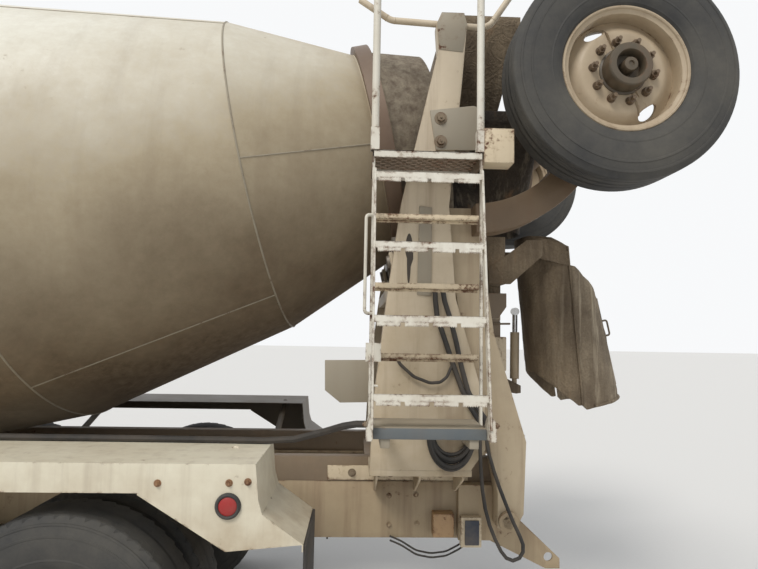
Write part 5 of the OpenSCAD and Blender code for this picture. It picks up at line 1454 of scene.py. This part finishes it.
soften(work, 0.0025, angle=40)
keep(work, "rear_pedestal_dressed", "pedestal_paint", "chassis", ["rear_pedestal"])

# %% [markdown]
# ## Booster arms
#
# The arms are tan like the frame, while the beam between their ends is bare and rusty. The CAD
# solid holds both, so its copy is split by place, and each half takes its own paint.

# %% Booster arms in their two paints
PLATE_SIDE, PLATE_TOP = 0.6125, 2.42
for name, finish, wanted in (("booster_arm_plates", "arm_paint", True),
                             ("booster_beam", "beam_paint", False)):
    work = tidy(nodes["booster_arms"].data)
    drop = []
    for face in work.faces:
        spot = face.calc_center_median()
        if (abs(spot.y) < PLATE_SIDE and spot.z < PLATE_TOP) != wanted:
            drop.append(face)
    bmesh.ops.delete(work, geom=drop, context="FACES")
    soften(work, 0.004, 2, 40)
    keep(work, name, finish, "booster", ["booster_arms"] if wanted else [])

# %% [markdown]
# ## Carry the rest over
#
# The solids listed below keep their CAD shape and get rounded edges: pressed cab panels roll over
# about a centimetre, welded plates only two or three millimetres.

# %% Dressed solids
SOFT = {"cab_shell": 0.012, "hood": 0.022, "door_left": 0.007, "door_right": 0.007, "front_bumper": 0.012,
        "water_tank": 0.008, "side_tanks": 0.01, "headlamps": 0.01, "dashboard": 0.012, "seats": 0.018,
        "engine_block": 0.006, "exhaust_stack": 0.003, "frame_rails": 0.003, "subframe": 0.003,
        "mud_flaps": 0.002, "front_pedestal": 0.003, "charge_hopper": 0.002, "discharge_collector": 0.002,
        "chute_swivel": 0.003, "grille": 0.003, "drum_rollers": 0.003, "front_axle": 0.004,
        "drive_axles": 0.004}
for node, radius in SOFT.items():
    dress(node, radius)
print("dressed solids:", len(SOFT))

# %% [markdown]
# ## Cab fittings
#
# Door handles, wipers, roof marker lamps, mirror glass and tank straps are the small things by
# which the eye judges a cab's size. They have no joint of their own and ride the door or cab.

# %% Handles, mirror glass, rails and straps
TANK_Y, TANK_Z, STRAP_RADIUS = 0.79, 0.80, 0.304
GRIP = ((2.535, 1.004, 1.62), (2.535, 1.034, 1.62), (2.68, 1.034, 1.62), (2.68, 1.004, 1.62))
GRAB_RAIL = ((2.40, 1.0, 1.42), (2.40, 1.055, 1.42), (2.40, 1.055, 2.10), (2.40, 1.0, 2.10))
for side_name, hand in SIDES.items():
    work = bmesh.new()
    side_block(work, hand, (2.515, 1.0, 1.585), (2.70, 1.007, 1.655))
    soften(work, 0.004)
    tube(work, rounded([(x, hand * y, z) for x, y, z in GRIP], 0.012), 0.007, 10)
    keep(work, "door_handle_" + side_name, "trim_dark", "door_" + side_name)
    work = bmesh.new()
    side_block(work, hand, (3.486, 1.19, 1.813), (3.4915, 1.32, 2.237))
    soften(work, 0.003)
    keep(work, "mirror_glass_" + side_name, "rod_chrome", "chassis")
    work = bmesh.new()
    tube(work, rounded([(x, hand * y, z) for x, y, z in GRAB_RAIL], 0.03), 0.014, 12)
    for x in (1.55, 2.0, 2.45):
        tube(work, [(x, hand * TANK_Y + STRAP_RADIUS * math.cos(a), TANK_Z + STRAP_RADIUS * math.sin(a))
                    for a in turns(48, 1)], 0.010, 6)
    tube(work, [(2.30, hand * 0.87, 1.06), (2.30, hand * 0.89, 1.13)], 0.045, 24)
    for z in (0.62, 0.86):
        side_block(work, hand, (2.72, 1.081, z), (3.22, 1.11, z + 0.03))
    keep(work, "cab_side_fittings_" + side_name, "bare_steel", "chassis")
print("cab sides fitted:", len(SIDES))

# %% Wipers and roof lamps
glass_out = Vector((0.87, 0, 0.44)).normalized()


def on_windshield(up, y, out):
    """A point on the windshield: up from 0 at its foot to 1 at the roof."""
    return Vector((3.52 - 0.44 * up, y, 1.96 + 0.87 * up)) + glass_out * out


work = bmesh.new()
for y in (0.12, -0.62):
    for path, radius, sides in ((((-0.03, 0, 0.02), (0.06, 0.02, 0.04), (0.36, 0.30, 0.03)), 0.006, 8),
                                (((0.08, 0.22, 0.018), (0.36, 0.30, 0.020), (0.64, 0.38, 0.018)), 0.008, 6)):
        tube(work, [on_windshield(up, y + across, out) for up, across, out in path], radius, sides)
keep(work, "wipers", "trim_dark", "chassis")
work = bmesh.new()
for y in (-0.60, -0.18, 0.0, 0.18, 0.60):
    outline = [(2.93, 2.829), (3.05, 2.829), (3.03, 2.85), (2.96, 2.862), (2.94, 2.855)]
    plate(work, outline, y - 0.032, y + 0.032)
soften(work, 0.005, 2, 30)
keep(work, "roof_marker_lamps", "lamp_amber", "chassis")
print("wipers and roof lamps made")

# %% Tank straps and drive shafts
work = bmesh.new()
for y in (-0.45, 0.45):
    lathe(work, [(0.262, -0.03), (0.267, -0.03), (0.267, 0.03), (0.262, 0.03)], (1.89, y, 2.38), 1, 64)
for z in (1.53, 1.95, 2.37):
    clamp = [(2.085 + 0.104 * math.cos(a), -0.88 + 0.104 * math.sin(a), z) for a in turns(40, 1)]
    tube(work, clamp, 0.008, 6)
tube(work, [(2.45, 0, 0.86), (0.9, 0, 0.78), (-0.45, 0, 0.60)], 0.055, 16)
tube(work, [(-1.25, 0, 0.58), (-1.80, 0, 0.57)], 0.05, 16)
keep(work, "straps_and_shafts", "bare_steel", "chassis")
print("straps and shafts made")
